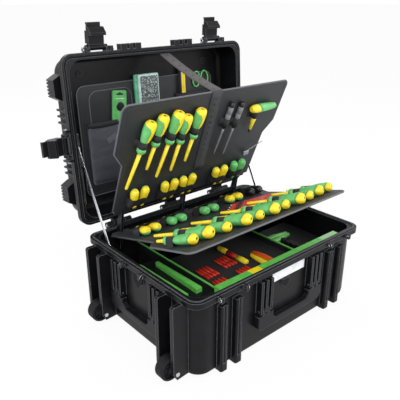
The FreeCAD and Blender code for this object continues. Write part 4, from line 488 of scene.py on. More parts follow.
class Palette:
    """All finishes of the case, made once."""

    def __init__(self) -> None:
        """Build every material."""
        black = linear(17, 17, 19)
        # The second colour of each moulding is painted on its edges as a highlight.
        self.case = Moulding("case_moulding", black, linear(122, 124, 130), 0.33, edge=0.0028).make()
        self.handle = Moulding("handle_moulding", linear(20, 20, 23), linear(128, 130, 136), 0.32).make()
        self.latch = Moulding("latch_moulding", linear(18, 18, 21), linear(120, 122, 126), 0.34).make()
        rubber = linear(24, 24, 26)
        self.tyre = Moulding("wheel_rubber", rubber, linear(62, 62, 64), 0.6, 700.0, 0.0003).make()
        # Darker matt catch face: painted shade for the shadow in the catch pockets.
        self.catch = Moulding("catch_painted_shade", linear(12, 12, 13), linear(54, 55, 58), 0.6).make()
        self.seal = Moulding("seal_rubber", linear(22, 22, 24), linear(60, 60, 62), 0.7, 500.0, 0.0003).make()
        self.tray = Moulding("tray_moulding", linear(18, 18, 20), linear(66, 67, 70), 0.5).make()
        self.insert = Leatherette("insert_foam", linear(20, 20, 22), 0.86, 420.0, 0.0004).make()
        self.board = Leatherette("board_face", linear(36, 37, 41), 0.46, 900.0, 0.00012).make()
        self.lining = Leatherette("lid_lining", linear(26, 27, 30), 0.42, 520.0).make()
        self.pocket = Leatherette("pocket_leatherette", linear(64, 66, 74), 0.42, 420.0, fold=0.005).make()
        self.dark_pocket = Leatherette("dark_pocket", linear(30, 31, 33), 0.45, 420.0, fold=0.003).make()
        self.piping = Leatherette("edge_piping", linear(84, 86, 92), 0.4, 900.0).make()
        self.thread = Leatherette("stitch_thread", linear(70, 72, 76), 0.7, 2000.0).make()
        # One webbing in two colours, painted light and shade: lighter for the free run, darker for the run
        # sewn on the board.
        self.webbing = Woven("strap_webbing", linear(58, 56, 56), linear(100, 97, 97)).make()
        self.shaded_board_webbing = Woven("shaded_board_strap_webbing", linear(36, 36, 39), linear(74, 75, 80)).make()
        self.elastic = Woven("loop_elastic", linear(16, 17, 19), linear(44, 45, 50), 0.0014).make()
        self.steel = Brushed("bright_steel", linear(212, 214, 218), 0.26).make()
        self.tool_steel = Brushed("tool_steel", linear(150, 152, 158), 0.32, (0.05, 1.0, 0.05)).make()
        self.two_tone = TwoTone("driver_plastics", Tone.GREEN.value, Tone.YELLOW.value).make()
        self.red_yellow = TwoTone("insulated_plastics", Tone.ORANGE.value, Tone.YELLOW.value).make()
        self.green = Gloss("green_plastic", Tone.GREEN.value).make()
        self.leaf = Gloss("leaf_green_plastic", Tone.LEAF.value, 0.36).make()
        self.yellow = Gloss("yellow_plastic", Tone.YELLOW.value).make()
        self.red = Gloss("red_insulation", Tone.RED.value, 0.34).make()
        self.dark = Gloss("dark_plastic", Tone.DARK.value, 0.4).make()
        self.label = Gloss("label_plate", linear(232, 234, 238), 0.3).make()


class Mesh:
    """Builds one piece's mesh from swept and lathed parts."""

    def __init__(self, name: str, materials: Sequence[bpy.types.Material]) -> None:
        """Start an empty mesh with its materials in order."""
        self.name = name
        self.materials = materials
        self.bm = bmesh.new()
        self.split = self.bm.verts.layers.float.new("split")
        self.uv = self.bm.loops.layers.uv.new("cloth")

    def rings(self, rows: Sequence[Sequence[Vector]], slot: int = 0, closed: bool = True, capped: bool = True,
              split: Optional[Callable[[int, int], float]] = None, place: Optional[Matrix] = None,
              slots: Optional[Sequence[int]] = None) -> None:
        """Skin a row of rings.

        Args:
            rows: Points of each ring, all of one count.
            slot: Material of the faces.
            closed: Whether each ring closes on itself.
            capped: Whether the first and last rings are filled.
            split: Split value of a point, by ring and place in the ring.
            place: Matrix that the points are put through.
            slots: Material of each span between rings, in place of slot.
        """
        count = len(rows[0])
        made = []
        for i, row in enumerate(rows):
            line = []
            for j, point in enumerate(row):
                vert = self.bm.verts.new(place @ point if place else point)
                vert[self.split] = split(i, j) if split else 0.0
                line.append(vert)
            made.append(line)
        run = 0.0
        for i in range(len(rows) - 1):
            step = (rows[i + 1][0] - rows[i][0]).length
            across = 0.0
            for j in range(count if closed else count - 1):
                k = (j + 1) % count
                width = (rows[i][k] - rows[i][j]).length
                face = self.bm.faces.new((made[i][j], made[i][k], made[i + 1][k], made[i + 1][j]))
                face.material_index = slots[i] if slots else slot
                face.smooth = True
                far, on = across + width, run + step
                spots = ((across, run), (far, run), (far, on), (across, on))
                for loop, spot in zip(face.loops, spots):
                    loop[self.uv].uv = spot
                across += width
            run += step
        if capped and closed:
            for line, number in ((made[0], 0), (made[-1], len(rows) - 2)):
                face = self.bm.faces.new(line)
                face.material_index = slots[number] if slots else slot
                face.smooth = False

    def lathe(self, profile: Profile, place: Matrix, slot: int = 0, sides: int = 24, lobes: float = 0.0,
              lobe_count: int = 3, split: Optional[Callable[[float, float], float]] = None,
              slots: Optional[Sequence[int]] = None) -> None:
        """Turn a profile about the Y axis.

        Args:
            profile: Places along Y with their radii, in millimetres.
            place: Matrix that puts the piece in the row frame.
            slot: Material of the faces.
            sides: Points round the axis.
            lobes: Share by which the section swells and shrinks.
            lobe_count: Number of swellings round it.
            split: Split value from place along Y and angle.
            slots: Material of each span, in place of slot.
        """
        angles = [2 * math.pi * j / sides for j in range(sides)]
        rows = []
        for along, radius in profile:
            row = []
            for angle in angles:
                r = max(radius, 0.02) * (1 - lobes + lobes * math.cos(lobe_count * angle))
                row.append(Vector((r * math.cos(angle), along, r * math.sin(angle))) * MM)
            rows.append(row)
        value = (lambda i, j: split(profile[i][0], angles[j])) if split else None
        self.rings(rows, slot, split=value, place=place, slots=slots)

    def sweep(self, path: Sequence[Vector], radii: Sequence[float], place: Matrix, slot: int = 0,
              sides: int = 14, split: Optional[Callable[[int, float], float]] = None) -> None:
        """Sweep a round section along a path.

        Args:
            path: Points in millimetres.
            radii: Radius at each point, in millimetres.
            place: Matrix that puts the piece in the row frame.
            slot: Material of the faces.
            sides: Points round the path.
            split: Split value from the point's number and the angle.
        """
        rows = []
        angles = [2 * math.pi * j / sides for j in range(sides)]
        for i, point in enumerate(path):
            ahead = (path[min(i + 1, len(path) - 1)] - path[max(i - 1, 0)]).normalized()
            side = ahead.cross(Vector((0, 0, 1)))
            side = side.normalized() if side.length > 1e-6 else Vector((1, 0, 0))
            up = side.cross(ahead)
            rows.append([(point + (side * math.cos(t) + up * math.sin(t)) * radii[i]) * MM for t in angles])
        value = (lambda i, j: split(i, angles[j])) if split else None
        self.rings(rows, slot, split=value, place=place)

    def strip(self, path: Sequence[Vector], across: Vector, width: float, thick: float, place: Matrix,
              slot: int = 0) -> None:
        """Flat band that follows a path.

        Args:
            path: Middle line in millimetres.
            across: Direction of the band's width.
            width: Width in millimetres.
            thick: Thickness in millimetres.
            place: Matrix that puts the band in the row frame.
            slot: Material of the faces.
        """
        rows = []
        half = across.normalized() * (width / 2)
        for i, point in enumerate(path):
            ahead = (path[min(i + 1, len(path) - 1)] - path[max(i - 1, 0)]).normalized()
            lift = across.cross(ahead).normalized() * (thick / 2)
            corners = (point - half - lift, point + half - lift, point + half + lift, point - half + lift)
            rows.append([corner * MM for corner in corners])
        self.rings(rows, slot, place=place)

    def cushion(self, x: tuple[float, float], y: tuple[float, float], z: tuple[float, float], place: Matrix,
                slot: int = 0, corner: float = 10.0, crown: float = 0.5, steps: int = 14) -> None:
        """Puffed panel: a flat back, and a front that swells away from its sewn edge.

        Args:
            x: Low and high across, in millimetres.
            y: Low and high along, in millimetres.
            z: Back and front heights, in millimetres.
            place: Matrix that puts the panel in the row frame.
            slot: Material of the faces.
            corner: Corner radius in millimetres.
            crown: Share of the height that belongs to the swelling.
            steps: Rows of the front.
        """
        outline = rounded_outline(x, y, corner, 6)
        middle = Vector(((x[0] + x[1]) / 2, (y[0] + y[1]) / 2, 0))
        back, front = z
        rise = front - back
        rows = [[Vector((p.x, p.y, back)) for p in outline]]
        for i in range(steps):
            share = i / (steps - 1)
            inset = 1 - share * 0.97
            lift = (1 - crown) * min(1.0, share * 14) + crown * math.sin(share * math.pi / 2) ** 0.55
            rows.append([Vector((middle.x + (p.x - middle.x) * inset, middle.y + (p.y - middle.y) * inset,
                                 back + rise * lift)) for p in outline])
        self.rings([[p * MM for p in row] for row in rows], slot, place=place)

    def block(self, x: tuple[float, float], y: tuple[float, float], z: tuple[float, float], place: Matrix,
              slot: int = 0, corner: float = 2.0, edge: float = 0.8) -> None:
        """Block with round upright corners and eased edges.

        Args:
            x: Low and high across, in millimetres.
            y: Low and high along, in millimetres.
            z: Low and high upwards, in millimetres.
            place: Matrix that puts the block in the row frame.
            slot: Material of the faces.
            corner: Corner radius in millimetres.
            edge: Size of the eased edges in millimetres.
        """
        full = rounded_outline(x, y, corner, 4)
        inner = ((x[0] + edge, x[1] - edge), (y[0] + edge, y[1] - edge))
        small = rounded_outline(*inner, max(corner - edge, 0.2), 4)
        levels = ((small, z[0]), (full, z[0] + edge), (full, z[1] - edge), (small, z[1]))
        rows = [[Vector((p.x, p.y, height)) * MM for p in outline] for outline, height in levels]
        self.rings(rows, slot, place=place)

    def finish(self, body: Body, slot: str, replaced: Iterable[str] = ()) -> bpy.types.Object:
        """Turn the mesh into a piece that rides on a body.

        Args:
            body: The body that it rides on.
            slot: The record's material slot.
            replaced: Nodes of the model that it stands for.

        Returns:
            The new object.
        """
        bmesh.ops.recalc_face_normals(self.bm, faces=self.bm.faces)
        data = bpy.data.meshes.new(self.name)
        self.bm.to_mesh(data)
        self.bm.free()
        for material in self.materials:
            data.materials.append(material)
        piece = bpy.data.objects.new(self.name, data)
        bpy.context.scene.collection.objects.link(piece)
        return seat(piece, body, slot, replaced)


def seat(piece: bpy.types.Object, body: Body, slot: str, replaced: Iterable[str] = ()) -> bpy.types.Object:
    """Let a finished piece ride on its body.

    Args:
        piece: The piece.
        body: The body that it rides on.
        slot: The record's material slot. Not used.
        replaced: Nodes of the model that it stands for.

    Returns:
        The same piece.
    """
    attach(piece, body.value)
    names = list(replaced)
    if names:
        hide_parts(*names)
    LOG.info("piece %s on %s, %d faces", piece.name, body.value, len(piece.data.polygons))
    return piece


def rounded_outline(x: tuple[float, float], y: tuple[float, float], radius: float,
                    steps: int) -> list[Vector]:
    """Points of a rectangle with round corners, at height 0.

    Args:
        x: Low and high across.
        y: Low and high along.
        radius: Corner radius.
        steps: Points in each corner.

    Returns:
        The points in order, counter-clockwise.
    """
    centres = ((x[1] - radius, y[0] + radius, -90), (x[1] - radius, y[1] - radius, 0),
               (x[0] + radius, y[1] - radius, 90), (x[0] + radius, y[0] + radius, 180))
    points = []
    for cx, cy, start in centres:
        for i in range(steps):
            angle = math.radians(start + 90 * i / (steps - 1))
            points.append(Vector((cx + radius * math.cos(angle), cy + radius * math.sin(angle), 0)))
    return points


def turned_about(point: Sequence[float], degrees: float) -> Matrix:
    """Turn about a line through a point, along X.

    Args:
        point: A point on the line, in millimetres.
        degrees: The turn.

    Returns:
        The matrix, in metres.
    """
    move = Matrix.Translation(Vector(point) * MM)
    return move @ Matrix.Rotation(math.radians(degrees), 4, "X") @ move.inverted()


UPPER_PLACE = (turned_about((0, 176.0, 271.0), -67.6) @ Matrix.Translation(Vector((0, 0.176, 0.262)))
               @ Matrix.Rotation(math.pi, 4, "Y"))
LOWER_PLACE = turned_about((0, 188.0, 203.4), -16.0) @ Matrix.Translation(Vector((0, 0.188, 0.2058)))
LID_PLACE = turned_about((0, 232.5, 212.0), -93.8)
HERE = Matrix.Identity(4)


def laid(board: Matrix, x: float, up_board: float, height: float, slant: float) -> Matrix:
    """Place of a tool on a board, its butt first.

    Args:
        board: The board's place.
        x: Butt across the board, in millimetres.
        up_board: Butt up the board, in millimetres.
        height: Height of its axis over the board, in millimetres.
        slant: Turn on the board in degrees.

    Returns:
        The matrix.
    """
    spot = Matrix.Translation(Vector((x, -up_board, height)) * MM)
    return board @ spot @ Matrix.Rotation(math.radians(slant), 4, "Z")


class NodeRig:
    """Builds Geometry Nodes trees and applies them to guide meshes."""

    def __init__(self) -> None:
        """Build the trees once."""
        self.stitches = self._stitch_tree()
        self.piping = self._piping_tree()

    @staticmethod
    def _tree(name: str, numbers: Sequence[str]) -> tuple[bpy.types.NodeTree, bpy.types.Node, bpy.types.Node]:
        """Start a tree with a mesh, some numbers and a material as inputs.

        Args:
            name: The tree's name.
            numbers: Names of its number inputs.

        Returns:
            The tree, its input node and its output node.
        """
        tree = bpy.data.node_groups.new(name, "GeometryNodeTree")
        tree.interface.new_socket("Guide", in_out="INPUT", socket_type="NodeSocketGeometry")
        for number in numbers:
            tree.interface.new_socket(number, in_out="INPUT", socket_type="NodeSocketFloat")
        tree.interface.new_socket("Finish", in_out="INPUT", socket_type="NodeSocketMaterial")
        tree.interface.new_socket("Shape", in_out="OUTPUT", socket_type="NodeSocketGeometry")
        return tree, tree.nodes.new("NodeGroupInput"), tree.nodes.new("NodeGroupOutput")

    @staticmethod
    def _close(tree: bpy.types.NodeTree, source: bpy.types.Node, shape: bpy.types.NodeSocket,
               end: bpy.types.Node) -> None:
        """Realise what a tree made, give it its material and hand it out.

        Args:
            tree: The tree.
            source: Its input node.
            shape: The geometry so far.
            end: Its output node.
        """
        real = tree.nodes.new("GeometryNodeRealizeInstances")
        paint = tree.nodes.new("GeometryNodeSetMaterial")
        tree.links.new(shape, real.inputs[0])
        tree.links.new(real.outputs[0], paint.inputs["Geometry"])
        tree.links.new(source.outputs["Finish"], paint.inputs["Material"])
        tree.links.new(paint.outputs[0], end.inputs[0])

    def _stitch_tree(self) -> bpy.types.NodeTree:
        """Tree that sews stitches along the guide's edges."""
        tree, source, end = self._tree("stitch_rows", ("Pitch", "Length", "Thread"))
        curve = tree.nodes.new("GeometryNodeMeshToCurve")
        points = tree.nodes.new("GeometryNodeCurveToPoints")
        points.mode = "LENGTH"
        bead = tree.nodes.new("GeometryNodeMeshIcoSphere")
        bead.inputs["Radius"].default_value = 1.0
        bead.inputs["Subdivisions"].default_value = 1
        size = tree.nodes.new("ShaderNodeCombineXYZ")
        copies = tree.nodes.new("GeometryNodeInstanceOnPoints")
        tree.links.new(source.outputs["Guide"], curve.inputs["Mesh"])
        tree.links.new(curve.outputs[0], points.inputs["Curve"])
        tree.links.new(source.outputs["Pitch"], points.inputs["Length"])
        for axis, name in (("X", "Thread"), ("Y", "Thread"), ("Z", "Length")):
            tree.links.new(source.outputs[name], size.inputs[axis])
        tree.links.new(points.outputs["Points"], copies.inputs["Points"])
        tree.links.new(bead.outputs["Mesh"], copies.inputs["Instance"])
        tree.links.new(points.outputs["Rotation"], copies.inputs["Rotation"])
        tree.links.new(size.outputs[0], copies.inputs["Scale"])
        self._close(tree, source, copies.outputs[0], end)
        return tree

    def _piping_tree(self) -> bpy.types.NodeTree:
        """Tree that runs a round welt along the guide's edges."""
        tree, source, end = self._tree("edge_welt", ("Radius",))
        curve = tree.nodes.new("GeometryNodeMeshToCurve")
        ring = tree.nodes.new("GeometryNodeCurvePrimitiveCircle")
        ring.inputs["Resolution"].default_value = 8
        skin = tree.nodes.new("GeometryNodeCurveToMesh")
        smooth = tree.nodes.new("GeometryNodeSetShadeSmooth")
        tree.links.new(source.outputs["Guide"], curve.inputs["Mesh"])
        tree.links.new(source.outputs["Radius"], ring.inputs["Radius"])
        tree.links.new(curve.outputs[0], skin.inputs["Curve"])
        tree.links.new(ring.outputs[0], skin.inputs["Profile Curve"])
        tree.links.new(skin.outputs[0], smooth.inputs[0])
        self._close(tree, source, smooth.outputs[0], end)
        return tree

    @staticmethod
    def guide(name: str, lines: Sequence[Sequence[Vector]], place: Matrix, closed: bool) -> bpy.types.Object:
        """Mesh of guide lines.

        Args:
            name: The object's name.
            lines: Points of each line, in millimetres.
            place: Matrix that puts them in the row frame.
            closed: Whether each line closes on itself.

        Returns:
            The guide object.
        """
        verts: list[Vector] = []
        edges: list[tuple[int, int]] = []
        for line in lines:
            start = len(verts)
            verts.extend(place @ (p * MM) for p in line)
            count = len(line)
            edges.extend((start + i, start + i + 1) for i in range(count - 1))
            if closed:
                edges.append((start + count - 1, start))
        data = bpy.data.meshes.new(name)
        data.from_pydata(verts, edges, [])
        piece = bpy.data.objects.new(name, data)
        bpy.context.scene.collection.objects.link(piece)
        return piece

    @staticmethod
    def grow(guide: bpy.types.Object, tree: bpy.types.NodeTree, numbers: dict[str, float],
             finish: bpy.types.Material) -> bpy.types.Object:
        """Run a tree on a guide and keep its result as a plain mesh.

        Args:
            guide: The guide object, whose mesh is replaced.
            tree: The tree.
            numbers: Its number inputs, by name.
            finish: The material of what it makes.

        Returns:
            The same object.
        """
        rig = guide.modifiers.new("rig", "NODES")
        rig.node_group = tree
        for item in tree.interface.items_tree:
            if item.in_out == "INPUT" and item.name in numbers:
                rig[item.identifier] = numbers[item.name]
            if item.in_out == "INPUT" and item.name == "Finish":
                rig[item.identifier] = finish
        depsgraph = bpy.context.evaluated_depsgraph_get()
        data = bpy.data.meshes.new_from_object(guide.evaluated_get(depsgraph))
        guide.modifiers.remove(rig)
        guide.data = data
        data.name = guide.name
        if not data.materials:
            data.materials.append(finish)
        return guide


@dataclass
class Shells:
    """Base, lid, handles, latches and wheels: the moulded case itself."""

    finishes: dict[str, tuple[str, ...]] = field(default_factory=lambda: {
        "case": ("base_shell", "lid_shell", "board_posts", "pull_bushes"),
        "handle": ("front_handle", "end_handle", "pull_grip", "pull_button"),
        "latch": tuple(kind + side for kind in ("latch_", "lever_")
                       for side in ("front_left", "front_right", "side_left", "side_right")),
        "tyre": ("wheel_front", "wheel_rear"),
        "seal": ("lid_seal",),
        "label": ("label_plate",),
        "steel": ("padlock_rings_base", "padlock_rings_lid", "hinge_pins", "wheel_axles", "pivot_pins",
                  "latch_pins", "stay_plates", "stay_rails", "stay_arms", "pull_tubes"),
        "tray": ("side_trays", "socket_rail"),
        "insert": ("bit_insert",),
        "board": ("upper_board", "lower_board"),
    })

    def dress(self, palette: Palette) -> None:
        """Give each carried-over node its finish.

        Args:
            palette: The finishes.
        """
        for finish, nodes in self.finishes.items():
            for node in nodes:
                paint(node, getattr(palette, finish))


def paint(node: str, material: bpy.types.Material) -> None:
    """Give a node of the model one material.

    Args:
        node: The node's name.
        material: Its material.
    """
    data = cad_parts[node].data
    data.materials.clear()
    data.materials.append(material)
    LOG.info("node %s in %s", node, material.name)


@dataclass
class Drivers:
    """Screwdrivers of both boards, with their loops."""

    upper: tuple[tuple[float, float, float, float, float], ...] = (
        (-194.4, 281.4, 96.4, 10.0, 0.95), (-160.9, 291.6, 143.7, 6.2, 0.92),
        (-118.0, 295.5, 110.9, 7.0, 1.0), (-86.4, 279.5, 118.1, 3.5, 0.88), (-47.5, 290.9, 139.4, 3.1, 0.93))
    lower: tuple[tuple[float, float, float, float], ...] = (
        (-221.9, 345.9, 0.84, 44.0), (-177.9, 350.0, 1.0, 83.6), (-128.0, 351.9, 0.84, 70.4),
        (-72.1, 362.1, 1.0, 88.0), (-25.9, 356.1, 0.82, 70.4), (24.0, 362.1, 1.0, 88.0),
        (69.1, 354.2, 0.84, 70.4), (119.9, 362.1, 1.0, 88.0), (163.1, 354.2, 0.82, 66.0),
        (209.0, 351.9, 0.95, 79.2), (253.0, 347.0, 0.84, 70.4))
    outline: Profile = ((0.0, 0.5), (0.025, 0.7), (0.07, 0.86), (0.14, 0.96), (0.24, 1.0), (0.42, 1.0),
                        (0.56, 0.97), (0.7, 0.91), (0.82, 0.83), (0.91, 0.74), (0.97, 0.64), (1.0, 0.5))
    upper_radius: float = 14.6
    upper_length: float = 59.0
    upper_lift: float = 5.0
    lower_radius: float = 15.0
    lower_length: float = 66.0
    lower_slant: float = 26.0
    wide: float = 1.2
    hole: float = 2.6
    hole_deep: float = 5.0
    band: float = 18.0
    seat: float = 0.3
    cap_turn: float = 2.44
    cap_share: float = 0.27
    cap_wave: float = 0.05
    grip_length: float = 94.0
    grip_radius: float = 12.4

    def body(self, mesh: Mesh, place: Matrix, radius: float, length: float, blade: float,
             split: Callable[[float, float], float]) -> None:
        """One screwdriver: lobed handle with its hang hole, neck, collar and insulated blade.

        Args:
            mesh: The mesh that it is added to; its materials are plastics, dark, yellow and green.
            place: Its place, butt at the origin and blade along +Y.
            radius: Handle radius in millimetres.
            length: Handle length in millimetres.
            blade: Blade length in millimetres.
            split: Split value from share along the handle and angle.
        """
        handle = [(share * length, size * radius) for share, size in self.outline]
        well = [(self.hole_deep, 0.1), (self.hole_deep, self.hole), (0.3, self.hole)]
        slots = [1, 1] + [0] * len(handle)
        broad = place @ Matrix.Scale(self.wide, 4, (1, 0, 0))
        mesh.lathe(well + handle, broad, sides=30, lobes=0.025, lobe_count=4, slots=slots,
                   split=lambda along, angle: split(along / length, angle))
        start = length + self.band - 2.0
        mesh.lathe([(length - 0.5, radius * 0.6), (start + 2.0, radius * 0.54)], place, slot=1, sides=20)
        size = min(1.0, blade / 70.0)
        collar = [(start, radius * 0.5), (start + 1.4, radius * 0.78), (start + 5.0, radius * 0.84),
                  (start + 10.0 * size, radius * 0.78), (start + 13.5 * size, radius * 0.58),
                  (start + 15.0 * size, radius * 0.4)]
        mesh.lathe(collar, place, slot=3, sides=22)
        end = length + blade
        shank = [(start + 14.0 * size, 5.2), (end - 12.0, 4.0), (end - 3.0, 3.6), (end - 0.6, 3.0),
                 (end, 2.0)]
        mesh.lathe(shank, place, slot=2, sides=16)

    def build(self, palette: Palette) -> None:
        """Make both rows and the side-gripped driver.

        Args:
            palette: The finishes.
        """
        plastics = (palette.two_tone, palette.dark, palette.yellow, palette.green)
        row = Mesh("upper_driver_row", plastics)
        for x, butt, end, slant, size in self.upper:
            radius, length = self.upper_radius * size, self.upper_length * size
            butt += self.upper_lift
            place = laid(UPPER_PLACE, -x, butt, radius + self.seat, -slant)
            blade = (butt - end) / math.cos(math.radians(slant)) - length
            row_split = lambda share, angle: math.cos(angle - self.cap_turn) - self.cap_edge(share)
            self.body(row, place, radius, length, blade, row_split)
        self.side_grip(row)
        row.finish(Body.UPPER, "green_plastic", ("upper_grips", "upper_cores"))
        row = Mesh("lower_driver_row", plastics)
        for x, butt, size, blade in self.lower:
            radius = self.lower_radius * size
            place = laid(LOWER_PLACE, x, butt, radius + self.seat, self.lower_slant)
            row_split = lambda share, angle: self.cap_share + self.cap_wave * math.cos(2 * angle) - share
            self.body(row, place, radius, self.lower_length * size, blade, row_split)
        row.finish(Body.LOWER, "green_plastic", ("lower_grips", "lower_cores"))

    @staticmethod
    def cap_edge(share: float) -> float:
        """Where the yellow of an upper handle ends, as a cosine.

        Args:
            share: Place along the handle, 0 at the butt.

        Returns:
            The least cosine that is still yellow: all round at the butt, one side further down.
        """
        step = min(1.0, max(0.0, (share - 0.06) / 0.24))
        return -1.3 + 1.8 * step * step * (3 - 2 * step)

    def side_grip(self, mesh: Mesh) -> None:
        """The driver whose grip lies across its blade.

        Args:
            mesh: The row's mesh.
        """
        length, radius = self.grip_length, self.grip_radius
        place = laid(UPPER_PLACE, -138.0, 262.0, radius + self.seat, 90.0)
        handle = [(share * length, size * radius) for share, size in self.outline]
        mesh.lathe(handle, place, sides=28, lobes=0.03, lobe_count=4,
                   split=lambda along, angle: 0.34 + 0.06 * math.cos(angle) - along / length)
        blade = place @ Matrix.Translation(Vector((0, 24.0, 0)) * MM) @ Matrix.Rotation(-math.pi / 2, 4, "Z")
        mesh.lathe([(6.0, 7.0), (30.0, 6.6), (31.0, 5.2)], blade, slot=1, sides=18)
        mesh.lathe([(30.0, 5.6), (32.0, 7.0), (44.0, 5.8), (66.0, 4.2), (67.0, 3.0)], blade, slot=2, sides=18)
        mesh.lathe([(66.0, 3.2), (76.0, 2.8), (78.0, 1.6)], blade, slot=1, sides=16)


@dataclass
class Loops:
    """Elastic loops and pockets that hold the tools on the boards."""

    width: float = 17.0
    thick: float = 1.3
    foot: Profile = ((9.0, 0.9), (3.0, 1.1), (0.8, 3.0))
    past_handle: float = 8.0
    neck_share: float = 0.66
    sleeve_half: float = 28.4
    sleeve_run: tuple[float, float] = (24.0, 55.0)
    sleeve_top: float = 24.4

    def arch(self, mesh: Mesh, place: Matrix, radius: float, height: float, width: float) -> None:
        """One elastic loop over a round tool that runs along Y.

        Args:
            mesh: The mesh that it is added to.
            place: Its place, middle of the loop at the board's face.
            radius: Clear radius over the tool in millimetres.
            height: Height of the tool's axis in millimetres.
            width: Width of the elastic in millimetres.
        """
        path = [Vector((-radius - out, 0, lift)) for out, lift in self.foot]
        for i in range(9):
            angle = math.pi - math.pi * i / 8
            path.append(Vector((radius * math.cos(angle), 0, height + radius * math.sin(angle))))
        path += [Vector((-p.x, 0, p.z)) for p in reversed(path[:3])]
        mesh.strip(path, Vector((0, 1, 0)), width, self.thick, place)

    def sleeve(self, mesh: Mesh, place: Matrix) -> None:
        """Sewn pocket for a pair of plier jaws.

        Args:
            mesh: The mesh that it is added to.
            place: The pliers' place, butts at the origin.
        """
        half, y, top = self.sleeve_half, self.sleeve_run, self.sleeve_top
        rows = []
        for i in range(9):
            share = i / 8
            along = y[0] + (y[1] - y[0]) * share
            swell = 1 - 0.3 * share ** 2
            row = []
            for j in range(17):
                angle = math.pi * j / 16
                flat = math.copysign(abs(math.cos(angle)) ** 0.5, math.cos(angle))
                row.append(Vector((half * flat, along, 0.4 + top * swell * math.sin(angle) ** 0.6)) * MM)
            rows.append(row)
        lip = [[Vector((p.x * 0.94, p.y, max(p.z * 0.9, 0.0004))) for p in row] for row in reversed(rows)]
        mesh.rings(rows + lip, 1, closed=False, capped=False, place=place)

    def build(self, palette: Palette, drivers: Drivers, pliers: "Pliers") -> None:
        """Make the loops of both boards.

        Args:
            palette: The finishes.
            drivers: The screwdrivers.
            pliers: The pliers and slim drivers.
        """
        finishes = (palette.elastic, palette.dark_pocket)
        mesh = Mesh("upper_elastic", finishes)
        for x, butt, _, slant, size in drivers.upper:
            place = laid(UPPER_PLACE, -x, butt + drivers.upper_lift, 0, -slant)
            radius, length = drivers.upper_radius * size, drivers.upper_length * size
            self.arch(mesh, place @ shift(length + self.past_handle), radius * self.neck_share,
                      radius + drivers.seat, self.width)
        place = laid(UPPER_PLACE, -162.0, 262.0 - 21.0, 0, 0)
        self.arch(mesh, place, 7.8, 11.3, 17.0)
        for x, butt, _ in pliers.slim:
            place = laid(UPPER_PLACE, -x, butt, 0, -pliers.slim_slant)
            self.arch(mesh, place @ shift(60.0), 8.4, pliers.slim_axis, 24.0)
        for x, up_board in pliers.upper:
            self.sleeve(mesh, laid(UPPER_PLACE, -x, up_board, 0, 0))
        mesh.finish(Body.UPPER, "loop_elastic", ("upper_loops",))
        mesh = Mesh("lower_elastic", finishes)
        for x, butt, size, _ in drivers.lower:
            place = laid(LOWER_PLACE, x, butt, 0, drivers.lower_slant)
            radius, length = drivers.lower_radius * size, drivers.lower_length * size
            self.arch(mesh, place @ shift(length + self.past_handle), radius * self.neck_share,
                      radius + drivers.seat, self.width)
        for x, butt in pliers.red:
            place = laid(LOWER_PLACE, x, butt, 0, pliers.red_slant)
            self.arch(mesh, place @ shift(101.0), 4.8, pliers.red_axis, 12.0)
        for x, up_board in pliers.lower:
            self.sleeve(mesh, laid(LOWER_PLACE, x, up_board, 0, 0))
        mesh.finish(Body.LOWER, "loop_elastic", ("lower_loops",))


def shift(along: float) -> Matrix:
    """Move along Y by millimetres."""
    return Matrix.Translation(Vector((0, along, 0)) * MM)


def leaned(place: Matrix, spot: Sequence[float], degrees: float) -> Matrix:
    """Place at a spot of another place, turned about its Z axis.

    Args:
        place: The place that the spot is given in.
        spot: The spot in millimetres.
        degrees: The turn.

    Returns:
        The new place.
    """
    return place @ Matrix.Translation(Vector(spot) * MM) @ Matrix.Rotation(math.radians(degrees), 4, "Z")


def run_of(path: Sequence[Vector]) -> float:
    """Length of a path of points."""
    return sum((b - a).length for a, b in zip(path, path[1:]))


